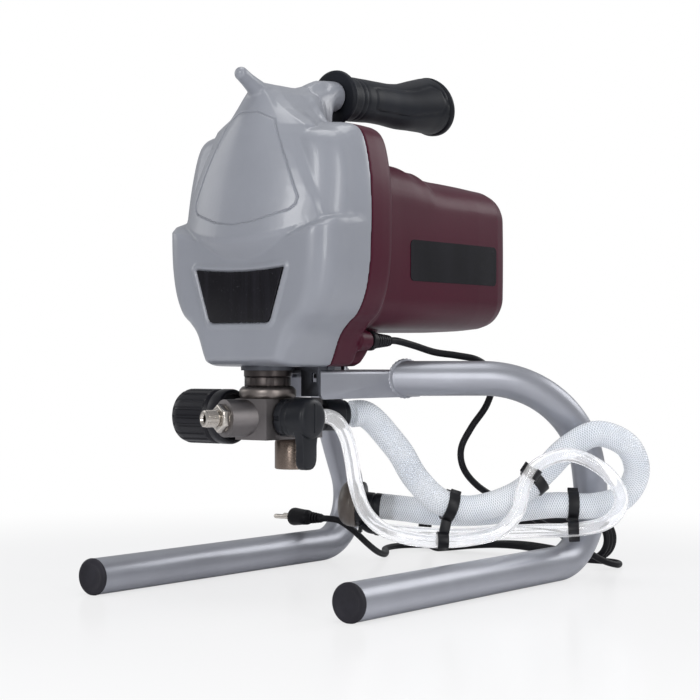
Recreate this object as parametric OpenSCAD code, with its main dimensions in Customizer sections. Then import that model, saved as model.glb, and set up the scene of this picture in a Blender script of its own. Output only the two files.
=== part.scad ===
// Airless paint sprayer on a bent-tube stand, with its piston pump, drive, hoses and mains cord.
// Units are millimetres. +Z is up, -Y is the front, and Z = 0 is the floor under the stand.

/* [Stand] */
// Outside diameter of the stand tube
tube_d = 32; // [28:1:34]
// Wall of the stand tube
tube_wall = 1.6; // [1.2:0.2:2.4]
// Distance between the floor runs, centre to centre
leg_spread = 277; // [265:1:290]
// Length of the stand, from the cap faces to the rear of the bends
stand_depth = 400; // [390:1:420]
// Height of the top rails' centre line
rail_height = 188; // [184:1:192]
// Bend radius where a leg leaves the floor
floor_bend_r = 54; // [48:1:58]
// Bend radius where a leg turns into its top rail
top_bend_r = 114; // [100:1:116]
// Thickness of a leg cap's face
cap_face_t = 3; // [2:0.5:4]

/* [Bracket] */
// Outside width of the bracket channel
bracket_w = 82; // [80:1:86]
// Length of the bracket channel
bracket_len = 152; // [146:1:158]
// Depth of the channel's sides
bracket_h = 25; // [22:1:28]
// Thickness of the bracket plate
plate_t = 3; // [2:0.5:4]
// Thread diameter of the four bracket bolts
bolt_d = 6; // [5:0.5:7]

/* [Housing] */
// Wall of the two housing shells
shell_t = 3; // [2:0.5:3.5]
// Half width of the housing at its widest
body_half_w = 90; // [88:1:94]
// Height of the housing above the bracket
body_h = 212; // [208:1:216]
// Depth of the front cover, from the label face to the seam
cover_depth = 65; // [62:1:68]
// Depth of the rear housing's flange
flange_depth = 36; // [32:1:40]
// Width of the motor barrel
barrel_w = 130; // [126:1:134]
// Height of the motor barrel
barrel_h = 140; // [136:1:144]
// Rear face of the motor barrel, from the seam
barrel_len = 272; // [266:1:280]

/* [Handle] */
// Height of the handle's centre line above the bracket, at its front
handle_z = 247; // [244:1:250]
// Length of the rubber grip
grip_len = 172; // [160:1:180]
// Outside diameter of the grip
grip_d = 38; // [36:1:42]
// Diameter of the core inside the grip
core_d = 22; // [20:1:24]

/* [Drive] */
// Height of the motor shaft above the bracket
motor_z = 106; // [104:1:108]
// Height of the crank shaft above the bracket
crank_z = 62; // [60:1:64]
// Teeth on each of the two pinions
pinion_teeth = 12; // [12:1:13]
// Teeth on the intermediate gear
gear_teeth = 54; // [52:1:56]
// Teeth on the crank gear
crank_teeth = 48; // [46:1:50]
// Module of the motor pinion and the intermediate gear
fast_module = 1; // [0.9:0.05:1.05]
// Module of the slow pinion and the crank gear
slow_module = 1.25; // [1.2:0.05:1.3]
// Full travel of the piston
stroke = 16; // [12:1:18]
// Running clearance of a shaft in its bearing, on the radius
running = 0.03; // [0.01:0.01:0.1]
// Outside diameter of the motor's laminations
stator_d = 84; // [80:1:88]
// Diameter of the rotor's core
rotor_d = 50; // [46:1:52]
// Diameter of the motor shaft
shaft_d = 10; // [8:1:10]

/* [Pump] */
// Distance of the pump's axis in front of the centre of the stand
pump_y = 127; // [126:0.5:128]
// Diameter of the pump cylinder
pump_d = 41; // [38:1:42]
// Diameter of the piston rod
rod_d = 14; // [12:1:15]
// Width of the manifold block
manifold_w = 34; // [32:1:36]
// Height of the manifold block
manifold_h = 35; // [33:1:36]
// Diameter of the outlet branch
branch_d = 32; // [30:1:34]
// Angle of the outlet branch towards the pressure knob
branch_turn = 20; // [15:1:25]
// Thread diameter of the outlet nipple
nipple_d = 13.5; // [13:0.1:14]
// Diameter of the inlet valve housing
inlet_d = 32; // [30:1:34]

/* [Controls] */
// Diameter of the pressure knob
knob_d = 48; // [44:1:50]
// Length of the pressure knob
knob_len = 53; // [48:1:56]
// Diameter of the prime valve's drum
prime_d = 34.6; // [33:0.2:35]
// Length of the prime lever, from its axis
lever_len = 43; // [38:1:46]
// Diameter of the two valve stems
stem_d = 9; // [8:1:10]

/* [Hoses] */
// Outside diameter of the suction hose
hose_d = 24; // [22:1:24]
// Outside diameter of the drain tube
drain_d = 13; // [11:1:13]
// Diameter of the strainer cup
strainer_d = 44; // [40:1:46]
// Diameter of the mains cord
cord_d = 6.4; // [6:0.1:6.6]
// Bend radius at the folds of the cord's hank
hank_r = 22; // [20:1:24]
// Length of the hank between its folds
hank_run = 176; // [160:1:180]

/* [Hidden] */
$fn = 48;
tau = 360;
fit_gap = 0.05;       // a part seated in a bore, on the radius
loose_gap = 0.3;      // parts that pass each other
tube_r = tube_d / 2;

// Stand: one leg's centre line, from the cap up to the bracket's side
front_y = -stand_depth / 2;
leg_x = leg_spread / 2;
leg_splay = 14;
leg_lean = 62;
weld_y = 22;
upright = [leg_splay, -leg_lean, rail_height - tube_r];
floor_tangent = floor_bend_r / tan(acos(leg_lean / norm(upright)) / 2);
floor_corner = [leg_x, stand_depth / 2 - tube_r - floor_bend_r + floor_tangent, tube_r];
top_corner = floor_corner + upright;
weld_point = [bracket_w / 2, weld_y, rail_height];
rail_end = weld_point + unit(weld_point - top_corner) * tube_d * 1.5;
leg_line = [[leg_x, front_y + cap_face_t, tube_r], floor_corner, top_corner, rail_end];
leg_route = concat(
    [leg_line[0]],
    bend(leg_line[0], floor_corner, top_corner, floor_bend_r, 12),
    bend(floor_corner, top_corner, rail_end, top_bend_r, 12),
    [rail_end]);
leg_sides = 24;

// Bracket
deck_z = rail_height + 8;
bracket_front = -106;
bracket_rear = bracket_front + bracket_len;
bolt_x = 26;
front_bolt_y = -88;
rear_bolt_y = -52;
bolt_r = bolt_d / 2;
bolt_head_r = bolt_r + 2.5;
bolt_head_h = 4;

// Housing, measured up from the bracket's top
seam_y = -100;
label_y = seam_y - cover_depth;
flange_rear = seam_y + flange_depth;
barrel_rear = seam_y + barrel_len;
barrel_z = motor_z;
body_low = 3;
lobe_rear = -38;
lobe_half_w = 36;
lobe_top = 44;
hood_w = 144;
hood_low = 108;
hood_high = 236;
hood_tip_w = 26;
hood_bow = 113;
hood_tilt = 11;
hood_front = label_y - 13;
hood_t = 30;

// Handle
stub_d = 30;
stub_front = -66;
neck_front = -136;
neck_rear = -58;
grip_front = -33;
grip_rear = grip_front + grip_len;
grip_tilt = 2.7;
core_front = -62;
core_rear = grip_rear - 6;

// Drive, whose centres form a triangle of meshing distances
fast_mesh = fast_module * (pinion_teeth + gear_teeth) / 2;
slow_mesh = slow_module * (pinion_teeth + crank_teeth) / 2;
shaft_gap = motor_z - crank_z;
layshaft_z = motor_z - (fast_mesh * fast_mesh - slow_mesh * slow_mesh + shaft_gap * shaft_gap) / (2 * shaft_gap);
layshaft_x = sqrt(fast_mesh * fast_mesh - (motor_z - layshaft_z) * (motor_z - layshaft_z));
fast_angle = atan2(layshaft_z - motor_z, layshaft_x);
slow_angle = atan2(crank_z - layshaft_z, -layshaft_x);
slow_gear_y = -86;
slow_gear_t = 8;
fast_gear_y = -74;
fast_gear_t = 7;
gear_plate_y = -98;
gear_plate_t = 10;
motor_plate_y = -62;
motor_plate_t = 6;
bearing_d = 22;
bearing_t = 8;
small_bearing_d = 16;
small_bearing_t = 6;
crank_shaft_d = 10;
crank_disc_r = stroke / 2 + 9;
crank_pin_r = 4;
layshaft_d = 8;
base_half_w = 42;
base_t = 12;
base_step = 5;        // the casting's narrow foot under the cover
slot_x = 33;
post_r = 5;
post_x = 44;
post_low = 54;
post_high = 146;
yoke_w = 42;
yoke_t = 14;
yoke_bar = 7;
window_w = stroke + 2 * crank_pin_r + 2;
window_h = 2 * stroke + 2 * crank_pin_r + 2;
yoke_h = window_h + 2 * yoke_bar;
pillar_t = 7;
can_t = 3;
can_front = motor_plate_y + motor_plate_t;
can_rear = 62;
end_frame_t = 6;
core_y = -32;
core_len = 68;
commutator_y = 44;
commutator_len = 14;
commutator_r = 13;
fan_y = 76;
fan_t = 16;
fan_r = 44;
board_y = 120;
board_w = 80;
board_h = 60;
board_t = 1.6;

// Pump, measured from the bracket's top
pump_r = pump_d / 2;
rod_r = rod_d / 2;
neck_r = pump_r - 4.5;
cylinder_low = -5.5;
ring_low = -13.5;
manifold_top = -24;
collar_r = pump_r + 4;
packing_r = rod_r + 5;
rod_low = -42;
chamber_gap = 0.5;
axis_z = manifold_top - 16.4;
manifold_low = manifold_top - manifold_h;
manifold_front = -150;
manifold_rear = -72;
inlet_y = -92;
inlet_h = 27;
inlet_chamber_r = 8;
branch_len = 43;
hex_t = 7;
nipple_len = 13;
nipple_bore_r = 3;
outlet_bore_r = 6;
check_len = 11;

// Controls, on the pump's cross axis
spigot_r = 13;
control_r = 12;
spigot_out = 5;
control_len = 15;
knob_x = -manifold_w / 2 - spigot_out - control_len - 1;
stem_r = stem_d / 2;
collar_x = manifold_w / 2 + 1;
collar_len = 13.5;
drum_x = collar_x + collar_len + loose_gap;
drum_len = 19.2;
drum_cap = 5;
lever_t = 9;
lever_w = 18;
barb_x = 24;
barb_y = -85;
barb_r = 4.2;

// Suction fitting, turned towards the hose
fitting_turn = 25;
fitting_nut_r = 14.5;
fitting_nut_len = 22;
fitting_len = 45;

// Hose, tube and cord routes, and the strainer at the hose's end
hose_route = [
    [19, -31.2, 156.6], [24.1, -20.3, 156.6], [30, -12, 150], [38, -5, 138], [48, 4, 121],
    [57, 15, 98], [72, 29, 78], [89, 47, 70], [108, 67, 74], [125, 87, 85], [139, 104, 103],
    [154, 121, 124], [174, 140, 137], [194, 160, 126], [198, 172, 101], [185, 168, 77],
    [162, 151, 69], [135, 131, 70], [104, 111, 66], [71, 92, 62], [38, 75, 62], [12, 63, 65],
    [-8, 54, 67]];
drain_route = [
    [24, -85, 155.6], [24, -74, 155.6], [28, -65, 151], [32, -57, 137], [32, -49, 117], [31, -42, 95],
    [33, -30, 70], [41, -10, 52], [61, 14, 43], [88, 39, 42], [118, 57, 50], [133, 66, 68],
    [137, 71, 91], [146, 80, 110], [167, 101, 119], [190, 122, 105], [201, 136, 80],
    [188, 138, 58], [161, 131, 49], [128, 114, 47], [96, 96, 45], [64, 77, 42], [31, 60, 43],
    [4, 47, 45]];
cord_route = [
    [46, -12, 222], [46, 1, 222], [50, 22, 218], [58, 44, 212], [68, 66, 209], [77, 87, 205],
    [80, 104, 195], [77, 114, 180], [68, 117, 161], [55, 112, 141], [46, 108, 121], [46, 112, 102],
    [54, 124, 85], [66, 146, 70], [82, 168, 56], [100, 190, 40], [118, 212, 22], [132, 230, 9],
    [138, 246, 4], [134, 260, 3.2], [124, 269, 3.2], [110, 272, 3.2], [96, 272, 3.2]];
lead_route = [
    [-96, 293.6, 3.2], [-107, 293.6, 3.2], [-124, 288, 3.2], [-136, 274, 3.2], [-138, 254, 3.2],
    [-130, 232, 3.2], [-114, 212, 3.2], [-101, 190, 3.6], [-93, 166, 9], [-89, 142, 20],
    [-91, 122, 34], [-98, 109, 44], [-107, 105, 46], [-118, 105, 46]];
strainer_point = hose_route[len(hose_route) - 1];
strainer_axis = unit(strainer_point - hose_route[len(hose_route) - 2]);
plug_point = lead_route[len(lead_route) - 1];

// Gland on the lower right of the flange, and the switch on the barrel's rear face
gland_x = 46;
gland_z = 26;
gland_r = 6;
gland_boss_r = 8.5;
gland_boss_rear = -44;
gland_len = 32;
switch_w = 22;
switch_h = 30;
switch_z = motor_z + 34;
rocker_pin_r = 1.5;
rocker_pin_in = 1.5;
screw_points = [[73, 70], [78, 150]];
screw_r = 2;
screw_boss_r = 5;
screw_depth = 14;

// Hank: turns laid side by side, each one drawn in at the waist, and a last run out to the left
hank_y = 272;
hank_turns = 3;
hank_step = 7.2;
hank_waist = 0.45;
hank_rings = 24;
hank_part = hank_rings / 4;
hank_half = hank_run / 2;
hank_span = hank_half + hank_r;
hank_fold_h = hank_r * (1 - drawn(hank_half));
hank_mid_z = cord_d / 2 + hank_fold_h;
hank_end = 8;

// Clips: each holds the hose between two points of its route, and the tube between two of its own
clips = [[6, 8], [9, 12], [16, 18]];

// ---- Functions ----

function unit(v) = v / norm(v);

// Points round a bend of radius r at b, on the way from a to c
function bend(a, b, c, r, steps) =
    let (
        u = unit(a - b),
        w = unit(c - b),
        half = acos(u * w) / 2,
        start = b + u * r / tan(half),
        centre = b + unit(u + w) * r / sin(half))
    [for (i = [0:steps])
        let (turn = (180 - 2 * half) * i / steps)
        centre + (start - centre) * cos(turn) - u * r * sin(turn)];

// Points of a rectangle with round corners, centred on the origin
function round_rect(w, h, r, steps = 6) = [
    for (q = [0:3]) for (i = [0:steps])
        let (a = 90 * q + 90 * i / steps, sx = (q == 0 || q == 3) ? 1 : -1, sz = q < 2 ? 1 : -1)
        [sx * (w / 2 - r) + r * cos(a), sz * (h / 2 - r) + r * sin(a)]];

// Right half of the housing's outline, seen from the front, from the bottom up
function body_side(w, h) = [
    [48, body_low], [48, 12], [58, 30], [w - 13, 49], [w - 4, 76], [w, 109], [w, h - 63],
    [w - 3, h - 36], [w - 8, h - 14], [w - 16, h - 5], [w - 46, h]];
function body_outline(w, h) = concat(
    body_side(w, h),
    [for (i = [len(body_side(w, h)) - 1:-1:0]) [-body_side(w, h)[i].x, body_side(w, h)[i].y]]);

// A gear's outline: plain tapered teeth, one of them centred on the angle zero
function gear_outline(teeth, module_mm) = [
    for (i = [0:teeth - 1]) for (k = [0:3])
        let (
            pitch_r = teeth * module_mm / 2,
            root = pitch_r - 1.15 * module_mm,
            tip = pitch_r + 0.8 * module_mm,
            pitch = tau / teeth,
            share = [0.32, 0.14, -0.14, -0.32][k],
            r = (k == 1 || k == 2) ? tip : root)
        [r * cos(pitch * (i - share)), r * sin(pitch * (i - share))]];

// Directions along a route, and a side direction carried along it
function headings(p) = [for (i = [0:len(p) - 1]) unit(p[min(i + 1, len(p) - 1)] - p[max(i - 1, 0)])];
function carried(t, u, i = 0) =
    i == len(t) ? [] : let (v = unit(u - (u * t[i]) * t[i])) concat([v], carried(t, v, i + 1));

// How far the hank is drawn in at x, as a share of its height
function drawn(x) = hank_waist * pow(1 - pow(x / hank_span, 2), 2);

// The hank's ring i: bottom run, left fold, top run with its climb to the next turn, right fold
function hank_ring(i) =
    let (
        turn = floor(i / hank_rings),
        k = i % hank_rings,
        y = hank_y + hank_step * turn,
        share = (k % hank_part) / hank_part,
        x = hank_run * share - hank_half,
        run_h = hank_r * (1 - drawn(x)),
        fold = 180 * share)
    k < hank_part ? [-x, y, hank_mid_z - run_h]
    : k < 2 * hank_part ? [-hank_half - hank_r * sin(fold), y, hank_mid_z - hank_fold_h * cos(fold)]
    : k < 3 * hank_part ? [x, y + hank_step * share, hank_mid_z + run_h]
    : [hank_half + hank_r * sin(fold), y + hank_step, hank_mid_z + hank_fold_h * cos(fold)];

// The least distance between turns of a line that are half a turn or more apart
function least_gap(p, apart, d) =
    min([for (i = [0:len(p) - 1]) for (j = [i + apart:1:len(p) - 1]) norm(p[i] - p[j])]) - d;

// ---- Helpers ----

module on_deck() {
    translate([0, 0, deck_z]) children();
}

module place(origin, x_axis, z_axis) {
    y_axis = cross(z_axis, x_axis);
    multmatrix([
        [x_axis.x, y_axis.x, z_axis.x, origin.x],
        [x_axis.y, y_axis.y, z_axis.y, origin.y],
        [x_axis.z, y_axis.z, z_axis.z, origin.z]]) children();
}

// Children drawn along +Z are laid along +Y, or along +X, or along any direction
module along_y(y, x = 0, z = 0) {
    translate([x, y, z]) rotate([-90, 0, 0]) children();
}

module along_x(x, y = 0, z = 0) {
    translate([x, y, z]) rotate([0, 90, 0]) children();
}

module along(origin, direction) {
    d = unit(direction);
    side = abs(d.z) > 0.9 ? [1, 0, 0] : unit(cross(d, [0, 0, 1]));
    place(origin, side, d) children();
}

module disc(r, h, bore = 0) {
    difference() {
        cylinder(r = r, h = h);
        if (bore > 0) translate([0, 0, -1]) cylinder(r = bore, h = h + 2);
    }
}

module box(x0, x1, y0, y1, z0, z1) {
    translate([x0, y0, z0]) cube([x1 - x0, y1 - y0, z1 - z0]);
}

module both_sides() {
    children();
    mirror([1, 0, 0]) children();
}

// A thin slice of an outline in the XZ plane, at y
module slice(points, y, t = 1) {
    translate([0, y + t, 0]) rotate([90, 0, 0]) linear_extrude(t) polygon(points);
}

// A round solid along a route's own points
module swept(route, d, sides, side = [0.1, 0.2, 1]) {
    t = headings(route);
    u = carried(t, side);
    n = len(route);
    points = [for (i = [0:n - 1]) for (k = [0:sides - 1])
        let (a = tau * k / sides) route[i] + d / 2 * (cos(a) * u[i] + sin(a) * cross(t[i], u[i]))];
    walls = [for (i = [0:n - 2]) for (k = [0:sides - 1])
        let (a = i * sides + k, b = i * sides + (k + 1) % sides)
        each [[a, a + sides, b], [b, a + sides, b + sides]]];
    first = [for (k = [1:sides - 2]) [0, k, k + 1]];
    last = [for (k = [1:sides - 2]) [(n - 1) * sides, (n - 1) * sides + k + 1, (n - 1) * sides + k]];
    polyhedron(points, concat(walls, first, last));
}

// ---- Stand ----

module stand_leg() {
    inside = concat([leg_route[0] - [0, 1, 0]], [for (i = [1:len(leg_route) - 1]) leg_route[i]]);
    difference() {
        swept(leg_route, tube_d, leg_sides, [0, 0, 1]);
        swept(inside, tube_d - 2 * tube_wall, leg_sides, [0, 0, 1]);
        box(-bracket_w / 2, bracket_w / 2, weld_y - 100, weld_y + 100, 0, deck_z + 40);
    }
}

module stand_leg_right() {
    color("silver") stand_leg();
}

module stand_leg_left() {
    color("silver") mirror([1, 0, 0]) stand_leg();
}

module leg_caps() {
    plug_len = 14;
    plug_r = (tube_r - tube_wall) * cos(180 / leg_sides) - fit_gap;
    color("#36353b") both_sides() along_y(front_y, leg_x, tube_r) {
        cylinder(r = tube_r, h = cap_face_t);
        cylinder(r = plug_r, h = cap_face_t + plug_len);
    }
}

module mount_bracket() {
    low = deck_z - bracket_h;
    corner_r = 6;
    color("silver") difference() {
        box(-bracket_w / 2, bracket_w / 2, bracket_front, bracket_rear, low, deck_z);
        box(-bracket_w / 2 + plate_t, bracket_w / 2 - plate_t, bracket_front - 1, bracket_rear + 1,
            low - 1, deck_z - plate_t);
        translate([0, -pump_y, low]) cylinder(r = pump_r + 1.5, h = bracket_h + 1);
        difference() {
            box(-bracket_w, bracket_w, bracket_front - 1, bracket_front + corner_r, low - 1, low + corner_r);
            along_x(-bracket_w, bracket_front + corner_r, low + corner_r)
                cylinder(r = corner_r, h = 2 * bracket_w);
        }
        both_sides() for (y = [front_bolt_y, rear_bolt_y])
            translate([bolt_x, y, low]) cylinder(r = bolt_r + loose_gap, h = bracket_h + 1);
    }
}

module bracket_bolts() {
    color("dimgray") both_sides() for (y = [front_bolt_y, rear_bolt_y])
        translate([bolt_x, y, deck_z - plate_t]) {
            translate([0, 0, -bolt_head_h]) cylinder(r = bolt_head_r, h = bolt_head_h, $fn = 6);
            cylinder(r = bolt_r - fit_gap, h = plate_t + base_t - 3);
        }
}

// ---- Housing ----

module cover_hull(inset) {
    w = body_half_w - inset;
    outline = body_outline(w, body_h - inset);
    hull() {
        slice(outline, seam_y - 1 + (inset > 0 ? 1 : 0));
        slice([for (p = outline) [p.x * 0.97, body_low + inset + (p.y - body_low - inset) * 0.99]],
            seam_y - cover_depth * 0.62 + inset);
        slice([for (p = outline) [p.x * 0.76, body_low + 10 + (p.y - body_low) * 0.86]], label_y + inset);
    }
}

// The hood: a bell-shaped plate, bowed across and leaning back
module hood() {
    reach = hood_high - hood_low;
    bell = [
        [-hood_w / 2 + 6, 0], [0, -7], [hood_w / 2 - 6, 0], [hood_w / 2, 10],
        [hood_w / 2 * 0.7, reach * 0.44], [hood_tip_w * 1.1, reach * 0.76], [hood_tip_w / 2, reach],
        [-hood_tip_w / 2, reach], [-hood_tip_w * 1.1, reach * 0.76], [-hood_w / 2 * 0.7, reach * 0.44],
        [-hood_w / 2, 10]];
    translate([0, hood_front, hood_low]) rotate([-hood_tilt, 0, 0]) intersection() {
        translate([0, hood_t, 0]) rotate([90, 0, 0]) linear_extrude(hood_t) polygon(bell);
        translate([0, hood_bow, -20]) cylinder(r = hood_bow, h = reach + 40, $fn = 120);
    }
}

module hook() {
    hull() {
        translate([0, label_y + 16, hood_high - 12]) sphere(r = 9, $fn = 24);
        translate([0, label_y + 9, hood_high + 3]) sphere(r = 7, $fn = 24);
    }
    hull() {
        translate([0, label_y + 9, hood_high + 3]) sphere(r = 7, $fn = 24);
        translate([0, label_y + 3, hood_high + 10]) sphere(r = 6, $fn = 24);
    }
}

// The neck that carries the handle's stub, from the top of the cover
module handle_neck() {
    hull() {
        box(-34, 34, label_y + 30, seam_y - 1, body_h - 24, body_h - 4);
        along_y(neck_front, 0, handle_z - 14) cylinder(r = 13, h = 34, $fn = 32);
    }
    hull() {
        box(-22, 22, seam_y - 6, seam_y - 1, body_h + 0.8, body_h + 24);
        box(-17, 17, seam_y - 1, neck_rear, body_h + 0.8, body_h + 18);
    }
    translate([0, 0, handle_z]) rotate([grip_tilt, 0, 0]) {
        along_y(stub_front - 24) cylinder(r1 = 6, r2 = stub_d / 2, h = 24);
        along_y(stub_front) cylinder(r = stub_d / 2, h = grip_front - stub_front);
    }
}

module front_cover() {
    window_half = base_half_w + 4;
    boss_front = -144;
    color("#9aa0ab") on_deck() difference() {
        union() {
            difference() {
                union() {
                    cover_hull(0);
                    hood();
                    hook();
                    handle_neck();
                }
                cover_hull(shell_t);
            }
            at_screws(boss_front) cylinder(r = screw_boss_r, h = seam_y - boss_front);
        }
        at_screws(seam_y - screw_depth - 2) cylinder(r = screw_r, h = screw_depth + 3);
        box(-window_half - 2, window_half + 2, -152, seam_y + 1, body_low - 5, body_low + 9);
        translate([0, 0, handle_z]) rotate([grip_tilt, 0, 0])
            along_y(core_front - fit_gap) cylinder(r = core_d / 2 + fit_gap, h = 100);
        front_label_shape(fit_gap);
    }
}

// Screws through the flange into the cover's bosses, two a side
module at_screws(y) {
    both_sides() for (p = screw_points) along_y(y, p.x, p.y) children();
}

// The label's plate, set into the cover's flat face
module front_label_shape(grow) {
    top_half = 46 + grow;
    low_half = 30 + grow;
    translate([0, label_y + 1, 0]) rotate([90, 0, 0]) linear_extrude(1 + (grow > 0 ? 1 : 0.6))
        polygon([[-low_half, 41 - grow], [low_half, 41 - grow], [top_half, 84 + grow], [-top_half, 84 + grow]]);
}

module front_label() {
    color("#2e2d31") on_deck() front_label_shape(0);
}

module rear_shape(inset) {
    outline = body_outline(body_half_w - inset, body_h - inset);
    corner = 30 - inset;
    w = barrel_w - 2 * inset;
    h = barrel_h - 2 * inset;
    hull() {
        slice(outline, seam_y - (inset > 0 ? 1 : 0));
        slice([for (p = outline) [p.x * 0.975, p.y * 0.985]], flange_rear - 1 - inset);
    }
    translate([0, 0, barrel_z]) hull() {
        slice(round_rect(w + 3, h + 3, corner), flange_rear - 10);
        slice(round_rect(w, h, corner), barrel_rear - 26);
        slice(round_rect(w - 8, h - 8, corner - 4), barrel_rear - 11);
        slice(round_rect(w - 26, h - 26, corner - 12), barrel_rear - 1 - inset);
    }
}

// The lower lobe, which slopes up into the barrel's underside
module lobe(inset) {
    hull() {
        box(-lobe_half_w + inset, lobe_half_w - inset, flange_rear - 4, lobe_rear - inset, body_low + inset, lobe_top);
        box(-lobe_half_w + inset, lobe_half_w - inset, flange_rear - 4, 0 - inset, lobe_top - 1, lobe_top + 6);
    }
}

module rear_housing() {
    boss_r = bolt_r + 4;
    vent_count = 7;
    color("#4b1c30") on_deck() difference() {
        union() {
            difference() {
                union() {
                    rear_shape(0);
                    lobe(0);
                }
                rear_shape(shell_t);
                lobe(shell_t);
                box(-base_half_w - 4, base_half_w + 4, seam_y - 1, manifold_rear + 2, -5, body_low + 9);
            }
            both_sides() translate([bolt_x, rear_bolt_y, 0]) cylinder(r = boss_r, h = base_t + 3);
            at_screws(seam_y) cylinder(r = screw_boss_r, h = flange_depth - 1);
            along_y(flange_rear - shell_t, gland_x, gland_z)
                cylinder(r = gland_boss_r, h = gland_boss_rear - flange_rear + shell_t);
        }
        at_screws(seam_y - 1) cylinder(r = screw_r + loose_gap, h = flange_depth + 4);
        both_sides() translate([bolt_x, rear_bolt_y, -1]) cylinder(r = bolt_r, h = base_t);
        along_y(flange_rear - shell_t - 1, gland_x, gland_z) cylinder(r = gland_r, h = 40);
        for (i = [0:vent_count - 1])
            box(-34, 34, barrel_rear - shell_t - 3, barrel_rear + 1, barrel_z - 44 + 7 * i, barrel_z - 41 + 7 * i);
        box(-switch_w / 2, switch_w / 2, barrel_rear - shell_t - 3, barrel_rear + 1,
            switch_z - switch_h / 2, switch_z + switch_h / 2);
        side_label_shape(fit_gap);
    }
}

module side_label_shape(grow) {
    label_len = 140;
    label_h = 38;
    translate([0, 68, barrel_z - 8]) both_sides()
        translate([barrel_w / 2 - 1, 0, 0]) rotate([90, 0, 90])
            linear_extrude(2 + (grow > 0 ? 2 : 0)) polygon(round_rect(label_len + 2 * grow, label_h + 2 * grow, 4));
}

module side_labels() {
    color("#1c1b20") on_deck() side_label_shape(0);
}

module cover_screws() {
    head_t = 2.5;
    color("silver") on_deck() {
        at_screws(seam_y - screw_depth) cylinder(r = screw_r - fit_gap, h = flange_depth + screw_depth + 1);
        at_screws(flange_rear) cylinder(r = 2 * screw_r, h = head_t);
    }
}

// ---- Handle ----

module on_handle(y) {
    on_deck() translate([0, 0, handle_z]) rotate([grip_tilt, 0, 0]) along_y(y) children();
}

module handle_core() {
    color("#9aa0ab") on_handle(core_front) cylinder(r = core_d / 2, h = core_rear - core_front);
}

module handle_grip() {
    wall = grip_d / 2;
    color("#212429") on_handle(grip_front + fit_gap) rotate_extrude() polygon([
        [core_d / 2 + fit_gap, 0], [wall + 3, 0], [wall + 4.5, 3], [wall + 4.5, 12], [wall + 1, 18],
        [wall, 26], [wall - 1.5, 34], [wall, 42], [wall - 1, 95], [wall + 1, 115], [wall + 3, 138],
        [wall + 2, 152], [wall + 8, 160], [wall + 9, 164], [wall + 9, grip_len - 3],
        [wall + 6, grip_len], [0, grip_len], [0, core_rear - grip_front + fit_gap],
        [core_d / 2 + fit_gap, core_rear - grip_front + fit_gap]]);
}

// ---- Cord gland and switch ----

module cord_gland() {
    color("#1b1a1f") on_deck() along_y(gland_boss_rear, gland_x, gland_z) {
        translate([0, 0, flange_rear - gland_boss_rear]) cylinder(r = gland_r - fit_gap, h = gland_boss_rear - flange_rear);
        cylinder(r = gland_r + 3, h = 5);
        translate([0, 0, 5]) cylinder(r1 = gland_r + 1.5, r2 = 5, h = gland_len - 5);
    }
}

module switch_bezel() {
    lip = 2;
    color("#16161a") on_deck() difference() {
        union() {
            box(-switch_w / 2 + fit_gap, switch_w / 2 - fit_gap, barrel_rear - 12, barrel_rear,
                switch_z - switch_h / 2 + fit_gap, switch_z + switch_h / 2 - fit_gap);
            box(-switch_w / 2 - lip, switch_w / 2 + lip, barrel_rear, barrel_rear + 2,
                switch_z - switch_h / 2 - lip, switch_z + switch_h / 2 + lip);
        }
        box(-switch_w / 2 + 3, switch_w / 2 - 3, barrel_rear - 9, barrel_rear + 3,
            switch_z - switch_h / 2 + 3, switch_z + switch_h / 2 - 3);
        rocker_pin(running);
    }
}

// The rocker's pivot, whose ends sit in the bezel's sides
module rocker_pin(grow) {
    half = switch_w / 2 - 3 + rocker_pin_in + grow;
    along_x(-half, barrel_rear - 3, switch_z) cylinder(r = rocker_pin_r + grow, h = 2 * half);
}

module power_rocker() {
    half = switch_h / 2 - 4;
    rocker_w = switch_w - 6 - 2 * loose_gap;
    color("firebrick") on_deck() {
        rocker_pin(0);
        translate([-rocker_w / 2, barrel_rear - 3, switch_z]) rotate([90, 0, 90]) linear_extrude(rocker_w)
            polygon([[-3, -half + 3], [3, -half + 1], [2, 0], [5, half - 1], [-3, half - 3]]);
    }
}

// ---- Drive ----

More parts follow.
